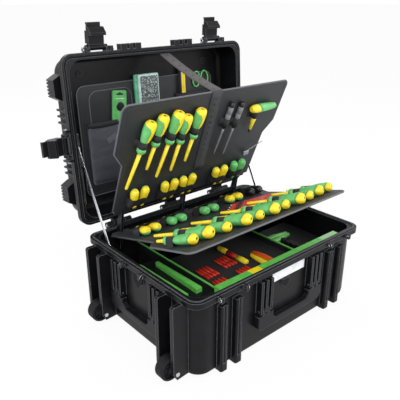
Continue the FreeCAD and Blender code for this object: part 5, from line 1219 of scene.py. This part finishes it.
@dataclass
class Pliers:
    """Pliers, slim drivers and red insulated drivers of both boards."""

    upper: Profile = ((-180.1, 81.0), (-84.0, 78.1), (-21.9, 78.1), (98.0, 76.1), (167.9, 80.0))
    lower: Profile = ((-194.9, 142.1), (-108.0, 137.2), (-5.4, 148.9), (116.1, 119.1), (206.0, 111.9))
    slim: tuple[tuple[float, float, float], ...] = ((62.6, 292.6, 131.2), (100.7, 287.7, 119.4))
    slim_slant: float = 3.0
    slim_axis: float = 7.5
    butt_radius: float = 12.2
    butt_spread: float = 16.8
    butt_axis: float = 12.4
    butt_run: tuple[float, float] = (-2.0, 54.0)
    red: Profile = ((109.9, 247.6), (129.9, 232.5), (150.1, 217.4), (170.1, 202.2), (190.1, 187.1))
    red_slant: float = 73.0
    red_axis: float = 4.3

    def pair(self, mesh: Mesh, place: Matrix, slot: int, lean: float) -> None:
        """One pair of plier handles, butts first.

        Args:
            mesh: The mesh that it is added to.
            place: The pair's place.
            slot: Material of the handles.
            lean: Split value's lean towards the second colour.
        """
        for side in (-1, 1):
            path = []
            radii = []
            for i in range(15):
                share = i / 14
                bow = self.butt_spread - 3.0 * share - 3.4 * share ** 2
                along = self.butt_run[0] + (self.butt_run[1] - self.butt_run[0]) * share
                path.append(Vector((side * bow, along, self.butt_axis - 0.8 * share)))
                blunt = 0.5 + 0.5 * min(1.0, share * 6) ** 0.6
                radii.append(self.butt_radius * blunt * (1 - 0.28 * share))
            mesh.sweep(path, radii, place, slot, 18,
                       split=lambda i, angle, s=side: lean + 0.7 * math.sin(angle) - 0.03 * i)

    def build(self, palette: Palette) -> None:
        """Make every pair and the slim tools.

        Args:
            palette: The finishes.
        """
        finishes = (palette.two_tone, palette.tool_steel, palette.green, palette.dark)
        mesh = Mesh("upper_plier_handles", finishes)
        for number, (x, up_board) in enumerate(self.upper):
            self.pair(mesh, laid(UPPER_PLACE, -x, up_board, 0, 0), 2 if number == 4 else 0, 0.35)
        rod = [Vector((-177.0, -106.0, 9.0)).lerp(Vector((-245.0, -134.0, 9.0)), i / 4) for i in range(5)]
        mesh.sweep(rod, [1.6, 1.6, 1.5, 1.3, 0.9], UPPER_PLACE, 1, 10)
        mesh.block((-199.0, -176.0), (-112.0, -98.0), (5.0, 12.0), UPPER_PLACE, 1, 3.0, 1.0)
        mesh.finish(Body.UPPER, "yellow_plastic", ("upper_pliers",))
        mesh = Mesh("lower_plier_handles", finishes)
        for number, (x, up_board) in enumerate(self.lower):
            self.pair(mesh, laid(LOWER_PLACE, x, up_board, 0, 0), (0, 2, 2, 0, 3)[number], 0.3)
        mesh.finish(Body.LOWER, "yellow_plastic", ("lower_pliers",))
        self.slim_tools(palette)
        self.red_tools(palette)

    def slim_tools(self, palette: Palette) -> None:
        """The two slim steel drivers.

        Args:
            palette: The finishes.
        """
        grey = Gloss("slim_grip_grey", linear(126, 127, 130), 0.3).make()
        mesh = Mesh("slim_steel_drivers", (grey, palette.dark, palette.steel))
        for x, butt, end in self.slim:
            place = laid(UPPER_PLACE, -x, butt, self.slim_axis, -self.slim_slant)
            mesh.lathe([(0, 4.0), (1.0, 6.4), (8.0, 7.4), (12.0, 7.6), (13.0, 6.4)], place, 1, 18)
            grip = [(12.5, 6.2), (14.0, 7.4), (32.0, 7.5), (33.0, 6.8), (35.0, 6.8), (36.0, 7.5), (50.0, 7.4),
                    (52.0, 6.4)]
            mesh.lathe(grip, place, 0, 20, lobes=0.04, lobe_count=6)
            mesh.lathe([(51.0, 6.0), (54.0, 6.9), (76.0, 5.6), (80.0, 2.6)], place, 1, 18)
            length = (butt - end) / math.cos(math.radians(self.slim_slant))
            mesh.lathe([(79.0, 3.4), (92.0, 2.8), (length - 8.0, 2.0), (length, 1.0)], place, 0, 12)
        mesh.finish(Body.UPPER, "tool_steel", ("upper_slim_drivers",))

    def red_tools(self, palette: Palette) -> None:
        """The row of slim red insulated drivers.

        Args:
            palette: The finishes.
        """
        mesh = Mesh("red_insulated_drivers", (palette.red, palette.yellow, palette.steel))
        for number, (x, butt) in enumerate(self.red):
            place = laid(LOWER_PLACE, x, butt, self.red_axis, self.red_slant)
            shape = [(0, 2.2), (1.2, 3.6), (20.0, 4.0), (21.0, 3.4), (23.0, 3.4), (24.0, 4.0), (88.0, 3.8),
                     (106.0, 3.0), (128.0, 2.8), (130.0, 2.0)]
            mesh.lathe(shape, place, 1 if number == 0 else 0, 18)
            mesh.lathe([(129.0, 1.6), (134.0, 1.6), (135.0, 0.8)], place, 2, 12)
        mesh.finish(Body.LOWER, "red_insulation", ("lower_red_drivers",))


@dataclass
class Boards:
    """Edge welts and seams of the two hinged boards."""

    half: float = 270.0
    rear: float = 242.0
    corner: float = 16.0
    welt: float = 2.7
    start: float = 11.0

    def outline(self, length: float, low: float, high: float, inset: float, z: float) -> list[Vector]:
        """Outline of a board, set in from its edge.

        Args:
            length: The board's length in millimetres.
            low: Where it starts to widen.
            high: Where it has its full width.
            inset: Distance from the edge.
            z: Height in the board's frame.

        Returns:
            The points in order.
        """
        front, rear = self.half - inset, self.rear - inset
        top = length - inset
        points = [Vector((rear, -self.start - inset, z)), Vector((rear, -low, z)), Vector((front, -high, z))]
        for i in range(7):
            angle = math.radians(90 * i / 6)
            reach = self.corner - inset * 0.3
            x = front - reach + reach * math.cos(angle)
            points.append(Vector((x, -top + reach - reach * math.sin(angle), z)))
        return points + [Vector((-p.x, p.y, z)) for p in reversed(points)]

    def build(self, palette: Palette, rig: NodeRig) -> None:
        """Make both boards' welts and seams.

        Args:
            palette: The finishes.
            rig: The Geometry Nodes trees.
        """
        for name, place, body, sizes in (("upper", UPPER_PLACE, Body.UPPER, (328.0, 160.0, 200.0)),
                                         ("lower", LOWER_PLACE, Body.LOWER, (378.0, 206.0, 232.0))):
            edge = rig.guide(name + "_board_welt", [self.outline(*sizes, 1.0, -2.5)], place, True)
            rig.grow(edge, rig.piping, {"Radius": self.welt * MM}, palette.piping)
            seat(edge, body, "board")
            seam = rig.guide(name + "_board_seam", [self.outline(*sizes, 9.0, 0.1)], place, True)
            stitch = {"Pitch": 0.0042, "Length": 0.0015, "Thread": 0.0005}
            rig.grow(seam, rig.stitches, stitch, palette.thread)
            seat(seam, body, "board")


@dataclass
class Strap:
    """Webbing strap from the lid over the upper board's face, with its eyelets."""

    x: float = 10.0
    width: float = 34.0
    board_length: float = 328.0
    down_board: float = 246.0
    lid_run: float = 431.9
    lid_depth: float = 6.0
    lean: float = 8.0
    thick: float = 1.5
    eyelet: Profile = ((0.0, 3.0), (0.35, 3.0), (0.36, 0.2))
    turn_over: Profile = ((0.4, 0.8), (1.2, -0.8), (1.2, -4.6))
    seam_half: float = 14.0
    stitch: float = 3.9
    first_stitch: float = 6.0

    def build(self, palette: Palette, rig: NodeRig) -> None:
        """Make the sewn run, the free run and the seams.

        Args:
            palette: The finishes.
            rig: The Geometry Nodes trees.
        """
        across = Vector((1, 0, 0))
        top = -self.board_length
        path = [Vector((-self.x - self.lean, top + self.down_board, 0.9))]
        for i in range(1, 14):
            share = i / 14
            path.append(Vector((-self.x - self.lean * (1 - 2 * share), top + self.down_board * (1 - share),
                                1.0 + 0.5 * (i % 3 == 1))))
        high = -self.x + self.lean
        path += [Vector((high, top - out, z)) for out, z in self.turn_over]
        # The sewn run takes the darker copy of the webbing, painted shade.
        mesh = Mesh("strap_on_board_webbing", (palette.shaded_board_webbing, palette.dark))
        mesh.strip(path, across, self.width, self.thick, UPPER_PLACE)
        for i in range(3, 14):
            spot = path[i] + Vector((0, 0, self.thick / 2))
            middle = UPPER_PLACE @ Matrix.Translation(spot * MM) @ Matrix.Rotation(math.pi / 2, 4, "X")
            mesh.lathe(self.eyelet, middle, 1, 14)
        sewn = mesh.finish(Body.UPPER, "webbing", ("strap_on_board",))
        run_of(path) * MM
        start = UPPER_PLACE @ (Vector((high, top - 2.2, -1.0)) * MM)
        end = LID_PLACE @ (Vector((self.x, 232.5 - self.lid_run, 212.0 + self.lid_depth)) * MM)
        path = []
        for i in range(17):
            share = i / 16
            sag = Vector((0, 0, -0.006 * math.sin(math.pi * share)))
            path.append((start.lerp(end, share) + sag) / MM)
        # The free run takes the lighter copy of the webbing, painted light.
        mesh = Mesh("strap_free_webbing", (palette.webbing, palette.dark))
        mesh.strip(path, across, self.width, self.thick, HERE)
        ahead = (end - start).normalized()
        face = across.cross(ahead).normalized()
        for i in range(1, 16, 2):
            turn = Matrix((across, face, across.cross(face))).transposed().to_4x4()
            for side in (-1, 1):
                middle = Matrix.Translation(path[i] * MM + face * (side * self.thick / 2 * MM)) @ turn
                mesh.lathe([(y * side, r) for y, r in self.eyelet], middle, 1, 14)
        span = mesh.finish(Body.LID, "webbing", ("strap_span",))
        run_of(path) * MM
        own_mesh(span)
        slope = 2 * self.lean / self.down_board
        steps = [self.first_stitch + self.stitch * i for i in range(60)]
        lines = [[Vector((high - slope * along + side * self.seam_half, top + along, 1.9)) for along in steps]
                 for side in (-1, 1)]
        seam = rig.guide("strap_seams", lines, UPPER_PLACE, False)
        sizes = {"Pitch": self.stitch * MM, "Length": 0.0014, "Thread": 0.00045}
        rig.grow(seam, rig.stitches, sizes, palette.thread)
        seat(seam, Body.UPPER, "webbing")


@dataclass
class Lining:
    """Lid panel with its sewn pockets, and the tools that stand in them."""

    ceiling: float = 292.5
    panel_x: tuple[float, float] = (-225.9, 240.0)
    panel_run: tuple[float, float] = (62.1, 362.0)
    pockets: tuple[tuple[tuple[float, float], tuple[float, float]], ...] = (
        ((-205.9, -106.0), (92.0, 262.1)), ((-96.0, 84.1), (92.0, 268.2)), ((94.1, 230.0), (92.0, 306.0)))
    ring_spots: Profile = ((178.4, -4.0), (211.5, 4.0))
    ring_half: tuple[float, float] = (13.6, 22.4)
    ring_wire: float = 2.5
    ring_steps: int = 40

    def place(self) -> Matrix:
        """Matrix from lid coordinates, across, from the hinge and below the ceiling, to the row frame."""
        flip = Matrix(((1, 0, 0, 0), (0, -1, 0, 232.5 * MM), (0, 0, -1, self.ceiling * MM), (0, 0, 0, 1)))
        return LID_PLACE @ flip

    def build(self, palette: Palette, rig: NodeRig) -> None:
        """Make panel, pockets, stitches, welts, tab and bands; the held tools are made in dress.

        Args:
            palette: The finishes.
            rig: The Geometry Nodes trees.
        """
        place = self.place()
        mesh = Mesh("lid_lining_panel", (palette.lining,))
        mesh.block(self.panel_x, self.panel_run, (0.2, 3.0), place, 0, 22.0, 1.0)
        mesh.finish(Body.LID, "leather_black", ("lid_panel",))
        mesh = Mesh("lid_sewn_pockets", (palette.pocket, palette.dark_pocket))
        for number, (x, run) in enumerate(self.pockets):
            mesh.cushion(x, run, (3.1, 13.6), place, 0 if number == 0 else 1, 9.0, 0.6)
        sewn = mesh.finish(Body.LID, "pocket", ("lid_pockets",))
        rows = []
        inset = 8.0
        outline = rounded_outline((self.panel_x[0] + inset, self.panel_x[1] - inset),
                                  (self.panel_run[0] + inset, self.panel_run[1] - inset), 16.0, 6)
        rows.append([Vector((p.x, p.y, 3.2)) for p in outline])
        seam = rig.guide("lid_panel_seam", rows, place, True)
        rig.grow(seam, rig.stitches, {"Pitch": 0.0046, "Length": 0.0017, "Thread": 0.0006}, palette.thread)
        seat(seam, Body.LID, "leather_black")
        edge = rounded_outline(self.panel_x, self.panel_run, 22.0, 8)
        welt = rig.guide("lid_panel_welt", [[Vector((p.x, p.y, 2.4)) for p in edge]], place, True)
        rig.grow(welt, rig.piping, {"Radius": 0.0016}, palette.piping)
        seat(welt, Body.LID, "leather_black")
        inner = rounded_outline((-192.0, -58.0), (110.0, 346.0), 26.0, 8)
        line = rig.guide("lid_pocket_welt", [[Vector((p.x, p.y, 3.4)) for p in inner]], place, True)
        rig.grow(line, rig.piping, {"Radius": 0.0014}, palette.piping)
        seat(line, Body.LID, "leather_black")
        tab = Mesh("pocket_tab", (palette.piping,))
        spot = leaned(place, (-139.0, 216.0, 0), 24.0)
        tab.block((-17.0, 17.0), (-8.0, 8.0), (12.6, 14.2), spot, 0, 1.5, 0.4)
        tab.finish(Body.LID, "pocket")
        flaps = Mesh("lid_pocket_bands", (palette.elastic, palette.pocket))
        for x, run in self.pockets:
            high = run[1] - 5.0
            path = []
            for i in range(13):
                swell = math.sin(math.pi * i / 12) ** 0.4
                path.append(Vector((x[0] + (x[1] - x[0]) * i / 12, high, 6.0 + 6.6 * swell)))
            flaps.strip(path, Vector((0, 1, 0)), 14.0, 1.2, place, 0)
        flaps.finish(Body.LID, "loop_elastic")

    def dress(self, palette: Palette) -> None:
        """Finish the tools that the pockets hold.

        Args:
            palette: The finishes.
        """
        edges = ((0.1100, 0.1143, linear(70, 66, 74)), (0.1212, 0.1216, Tone.DARK.value))
        paint("folding_rule", Banded("rule_varnish", Tone.YELLOW.value, "X", edges).make())
        self.tester(palette)
        self.bit_box()
        self.scissors(palette)

    def tester(self, palette: Palette) -> None:
        """Leaning tester plate with its hang slot and round window.

        Args:
            palette: The finishes.
        """
        place = leaned(self.place(), (-106.0, 271.5, 0), -6.0)
        mesh = Mesh("voltage_tester", (palette.green, palette.dark, palette.label))
        mesh.block((-22.5, 22.5), (-14.0, 69.0), (3.4, 10.2), place, 0, 5.0, 1.4)
        mesh.block((-11.0, 11.0), (57.0, 61.5), (9.6, 10.6), place, 1, 2.0, 0.2)
        mesh.block((-4.0, 4.0), (60.0, 64.0), (9.6, 10.6), place, 1, 1.6, 0.2)
        mesh.block((-13.0, 14.0), (46.0, 48.2), (9.6, 10.5), place, 2, 0.8, 0.2)
        window = Matrix.Translation(Vector((2.0, 26.0, 10.0)) * MM)
        face = place @ window @ Matrix.Rotation(math.pi / 2, 4, "X")
        mesh.lathe([(0.0, 12.6), (0.9, 12.2), (1.2, 10.0), (1.3, 0.2)], face, 1, 30)
        mesh.finish(Body.LID, "green_plastic", ("tester",))

    def bit_box(self) -> None:
        """Bit box: mint tray, clear lid with a pale frame, and the bits behind it."""
        place = self.place()
        mint = Gloss("bit_box_tray", Tone.MINT.value, 0.28).make()
        clear = Speckled("bit_box_window", linear(206, 218, 216)).make()
        rim = Gloss("bit_box_frame", linear(206, 232, 226), 0.2).make()
        mesh = Mesh("boxed_bits", (mint, rim, clear))
        mesh.block((-49.4, 28.0), (270.0, 376.7), (3.4, 13.0), place, 0, 4.0, 1.2)
        mesh.block((-42.0, 27.6), (271.0, 376.2), (12.6, 20.0), place, 1, 4.0, 1.6)
        mesh.block((-36.0, 24.0), (276.0, 371.0), (19.4, 20.3), place, 2, 3.0, 0.3)
        mesh.finish(Body.LID, "green_plastic", ("bit_box",))

    def scissors(self, palette: Palette) -> None:
        """Two thin oval finger rings; the shanks that run down into the pocket are not made.

        Args:
            palette: The finishes.
        """
        place = self.place()
        mesh = Mesh("scissor_handles", (palette.green, palette.tool_steel))
        wire = self.ring_wire
        turns = [2 * math.pi * j / 12 for j in range(12)]
        for x, lean in self.ring_spots:
            spot = leaned(place, (x, 342.2, 6.2), lean)
            ring = []
            for i in range(self.ring_steps):
                angle = 2 * math.pi * i / self.ring_steps
                across, up = self.ring_half
                ring.append(Vector((across * math.cos(angle), up * math.sin(angle), 0)))
            rows = []
            for i, point in enumerate(ring):
                ahead = (ring[(i + 1) % self.ring_steps] - ring[i - 1]).normalized()
                side = ahead.cross(Vector((0, 0, 1)))
                rows.append([(point + side * (wire * math.cos(t)) + Vector((0, 0, wire * math.sin(t)))) * MM
                             for t in turns])
            mesh.rings(rows + rows[:1], 0, capped=False, place=spot)
        mesh.finish(Body.LID, "green_plastic", ("scissors",))


@dataclass
class BaseLoad:
    """What lies in the base: dividers, bits, knife, level and green tools."""

    bits: Profile = ((-132.4, -74.2), (-63.8, -64.3), (-58.3, -137.4), (-137.9, -137.4))
    bit_radius: float = 3.6
    bit_length: float = 50.0
    bit_pitch: float = 10.5
    height: float = 168.0

    def build(self, palette: Palette) -> None:
        """Make the red bits, their driver, the darker catch faces painted as shade, and the knife.

        Args:
            palette: The finishes.
        """
        mesh = Mesh("insulated_bits", (palette.red, palette.red_yellow, palette.dark))
        for x, y in self.bits:
            for i in range(4):
                across = x + (i - 1.5) * self.bit_pitch
                place = Matrix.Translation(Vector((across, y - self.bit_length / 2, self.height)) * MM)
                r = self.bit_radius
                shape = [(0, r * 0.6), (1.0, r), (17.0, r), (18.0, r * 0.8), (20.0, r * 0.8), (21.0, r),
                         (41.0, r * 0.96), (47.0, r * 0.7), (50.0, r * 0.5)]
                mesh.lathe(shape, place, 0, 16)
        handle = Matrix.Translation(Vector((16.7, -158.2, self.height)) * MM)
        shape = [(s * 77.6, r * 15.8) for s, r in Drivers().outline]
        mesh.lathe(shape, handle, 1, 28, 0.03, 4, lambda along, angle: 0.5 * math.cos(2 * angle + 0.6) - 0.28)
        mesh.lathe([(70.0, 6.0), (77.6, 6.4)], handle, 2, 18)
        mesh.finish(Body.BASE, "red_insulation", ("insulated_set",))
        self.painted_catch_shades(palette)
        mesh = Mesh("cable_knife_handle", (palette.yellow, palette.red, palette.tool_steel))
        place = Matrix.Translation(Vector((-25.0, -104.0, self.height)) * MM)
        mesh.lathe([(0, 4.5), (2.0, 7.2), (18.0, 8.0), (36.0, 6.6)], place, 0, 22)
        mesh.lathe([(36.0, 6.4), (54.0, 6.2), (72.0, 7.0)], place, 1, 22)
        mesh.lathe([(72.0, 7.0), (88.0, 7.9), (104.0, 6.4), (108.0, 3.6)], place, 0, 22)
        mesh.finish(Body.BASE, "tool_steel", ("cable_knife",))

    @staticmethod
    def painted_catch_shades(palette: Palette) -> None:
        """Darker matt faces on the catch plates under the latches, painted shade for the shadow in the catch
        pockets.

        Args:
            palette: The finishes.
        """
        # Painted shade: darker pentagons on the catch plates stand in for the shadow in the pockets.
        mesh = Mesh("catch_painted_shade_faces", (palette.catch,))
        front = Matrix.Translation(Vector((0, -210.0, 0)) * MM)
        left = Matrix.Translation(Vector((-286.0, 0, 0)) * MM) @ Matrix.Rotation(-math.pi / 2, 4, "Z")
        right = Matrix.Translation(Vector((286.0, 0, 0)) * MM) @ Matrix.Rotation(math.pi / 2, 4, "Z")
        end_size = (18.0, 194.0, 168.0, 150.0)
        sizes = ((front, (13.0, 163.0, 149.0, 136.0)), (left, end_size), (right, end_size))
        for place, (half, top, waist, tip) in sizes:
            rows = []
            for inset, out in ((1.6, 0.0), (1.6, -0.4), (2.6, -0.8)):
                h, t = half - inset, top - inset
                points = ((-h, t), (-h, waist), (0.0, tip + inset * 1.4), (h, waist), (h, t))
                rows.append([Vector((x, out, z)) * MM for x, z in points])
            mesh.rings(rows, 0, place=place)
        mesh.finish(Body.BASE, "case_plastic")

    def dress(self, palette: Palette) -> None:
        """Finish the plain plastic pieces.

        Args:
            palette: The finishes.
        """
        green = Tone.LEAF.value
        edge = ((0.1806, 0.1900, green),)
        paint("dividers", Banded("divider_sheet", linear(30, 32, 32), "Z", edge, 0.4).make())
        paint("spirit_level", palette.leaf)
        paint("level_vials", Banded("vial_plastics", Tone.YELLOW.value, "X",
                                    ((0.05, 0.4, linear(150, 205, 140)),), 0.2).make())
        paint("green_tools", palette.leaf)


@dataclass
class Flap:
    """Leatherette strips below the upper board."""

    middle_gap: float = 4.2

    def build(self, palette: Palette) -> None:
        """Make the strips where the model has its flap.

        Args:
            palette: The finishes.
        """
        low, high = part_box("board_flap")
        mesh = Mesh("board_hinge_flap", (palette.lining,))
        spans = ((low.x / MM, -self.middle_gap), (self.middle_gap, high.x / MM))
        for x0, x1 in spans:
            path = []
            for i in range(7):
                bow = 0.8 * math.sin(math.pi * i / 6)
                path.append(Vector(((x0 + x1) / 2, 183.7 - 6.7 * i / 6 + bow, 222.1 + 16.2 * i / 6)))
            mesh.strip(path, Vector((1, 0, 0)), x1 - x0, 1.4, HERE)
        flap = mesh.finish(Body.BASE, "leather_black", ("board_flap",))
        run_of(path) * MM


@dataclass
class Studio:
    """Floor, lights, world and camera."""

    eye: tuple[float, float, float] = (-0.8539, -0.8753, 0.7996)
    ahead: tuple[float, float, float] = (0.60749, 0.6978, -0.37954)
    roll: float = 0.075
    lens: float = 46.05

    def build(self) -> None:
        """Make the stage around the case."""
        self.floor()
        self.world()
        self.lamp("key", (-1.5, -2.1, 2.6), 1.3, 62.0)
        self.lamp("fill", (2.4, -1.6, 1.6), 1.6, 28.0)
        self.lamp("back", (0.4, 2.4, 2.6), 1.4, 34.0)
        self.lamp("left_rim", (-2.4, 0.2, 1.2), 0.5, 12.0)
        self.lamp("right_rim", (0.9, -2.4, 0.9), 0.4, 9.0)
        self.camera()

    def floor(self) -> None:
        """Pale floor that shows near white and keeps the shadow."""
        mesh = bpy.data.meshes.new("floor")
        size = 30.0
        corners = [(-size, -size, 0), (size, -size, 0), (size, size, 0), (-size, size, 0)]
        mesh.from_pydata(corners, [], [(0, 1, 2, 3)])
        floor = bpy.data.objects.new("floor", mesh)
        bpy.context.scene.collection.objects.link(floor)
        g = Graph("pale_floor")
        g.set(Base_Color=(0.86, 0.86, 0.87), Roughness=0.9)
        glow = g.tree.nodes.new("ShaderNodeEmission")
        glow.inputs["Color"].default_value = (1.0, 1.0, 1.0, 1.0)
        seen = g.add("ShaderNodeLightPath", None, None, "Is Camera Ray")
        mirrored = g.add("ShaderNodeLightPath", None, None, "Is Glossy Ray")
        clear = g.add("ShaderNodeLightPath", None, None, "Is Transmission Ray")
        mixer = g.tree.nodes.new("ShaderNodeMixShader")
        g.feed(mixer.inputs[0], (seen + clear) * 0.93 + mirrored * 0.7)
        g.tree.links.new(g.shader.outputs[0], mixer.inputs[1])
        g.tree.links.new(glow.outputs[0], mixer.inputs[2])
        output = next(n for n in g.tree.nodes if n.type == "OUTPUT_MATERIAL")
        g.tree.links.new(mixer.outputs[0], output.inputs["Surface"])
        mesh.materials.append(g.material)

    def world(self) -> None:
        """White surroundings for the camera and reflections, softer light elsewhere."""
        world = bpy.data.worlds.new("studio")
        bpy.context.scene.world = world
        world.use_nodes = True
        tree = world.node_tree
        back = next(n for n in tree.nodes if n.type == "BACKGROUND")
        back.inputs["Color"].default_value = (1.0, 1.0, 1.0, 1.0)
        path = tree.nodes.new("ShaderNodeLightPath")
        found: Optional[bpy.types.NodeSocket] = None
        for kind in ("Is Camera Ray", "Is Glossy Ray", "Is Transmission Ray"):
            either = tree.nodes.new("ShaderNodeMath")
            either.operation = "MAXIMUM"
            tree.links.new(path.outputs[kind], either.inputs[0])
            if found is not None:
                tree.links.new(found, either.inputs[1])
            else:
                either.inputs[1].default_value = 0.0
            found = either.outputs[0]
        strength = tree.nodes.new("ShaderNodeMapRange")
        strength.inputs["To Min"].default_value = 0.62
        strength.inputs["To Max"].default_value = 1.0
        tree.links.new(found, strength.inputs["Value"])
        tree.links.new(strength.outputs[0], back.inputs["Strength"])

    @staticmethod
    def lamp(name: str, spot: tuple[float, float, float], size: float, power: float) -> None:
        """Soft square lamp that faces the case.

        Args:
            name: The lamp's name.
            spot: Its place.
            size: Its side in metres.
            power: Its power in watts.
        """
        light = bpy.data.lights.new(name, "AREA")
        light.size = size
        light.energy = power
        lamp = bpy.data.objects.new(name, light)
        lamp.location = spot
        lamp.rotation_euler = (Vector((0, 0, 0.3)) - Vector(spot)).to_track_quat("-Z", "Y").to_euler()
        bpy.context.scene.collection.objects.link(lamp)

    def camera(self) -> None:
        """Camera at the photograph's angle."""
        view = bpy.data.cameras.new("view")
        view.lens = self.lens
        view.sensor_width = 36.0
        view.clip_end = 100.0
        camera = bpy.data.objects.new("view", view)
        ahead = Vector(self.ahead).normalized()
        right = ahead.cross(Vector((0, 0, 1))).normalized()
        up = right.cross(ahead)
        turn = math.radians(self.roll)
        across = right * math.cos(turn) + up * math.sin(turn)
        over = up * math.cos(turn) - right * math.sin(turn)
        matrix = Matrix((across, over, -ahead)).transposed().to_4x4()
        matrix.translation = Vector(self.eye)
        camera.matrix_world = matrix
        bpy.context.scene.collection.objects.link(camera)
        bpy.context.scene.camera = camera


def main() -> None:
    """Build the studio and dress the model."""
    bpy.context.scene.view_settings.view_transform = "Standard"
    Studio().build()
    palette = Palette()
    rig = NodeRig()
    Shells().dress(palette)
    drivers = Drivers()
    pliers = Pliers()
    drivers.build(palette)
    pliers.build(palette)
    Loops().build(palette, drivers, pliers)
    Boards().build(palette, rig)
    Strap().build(palette, rig)
    lining = Lining()
    lining.build(palette, rig)
    lining.dress(palette)
    load = BaseLoad()
    load.build(palette)
    load.dress(palette)
    Flap().build(palette)


if __name__ == "__main__":
    main()
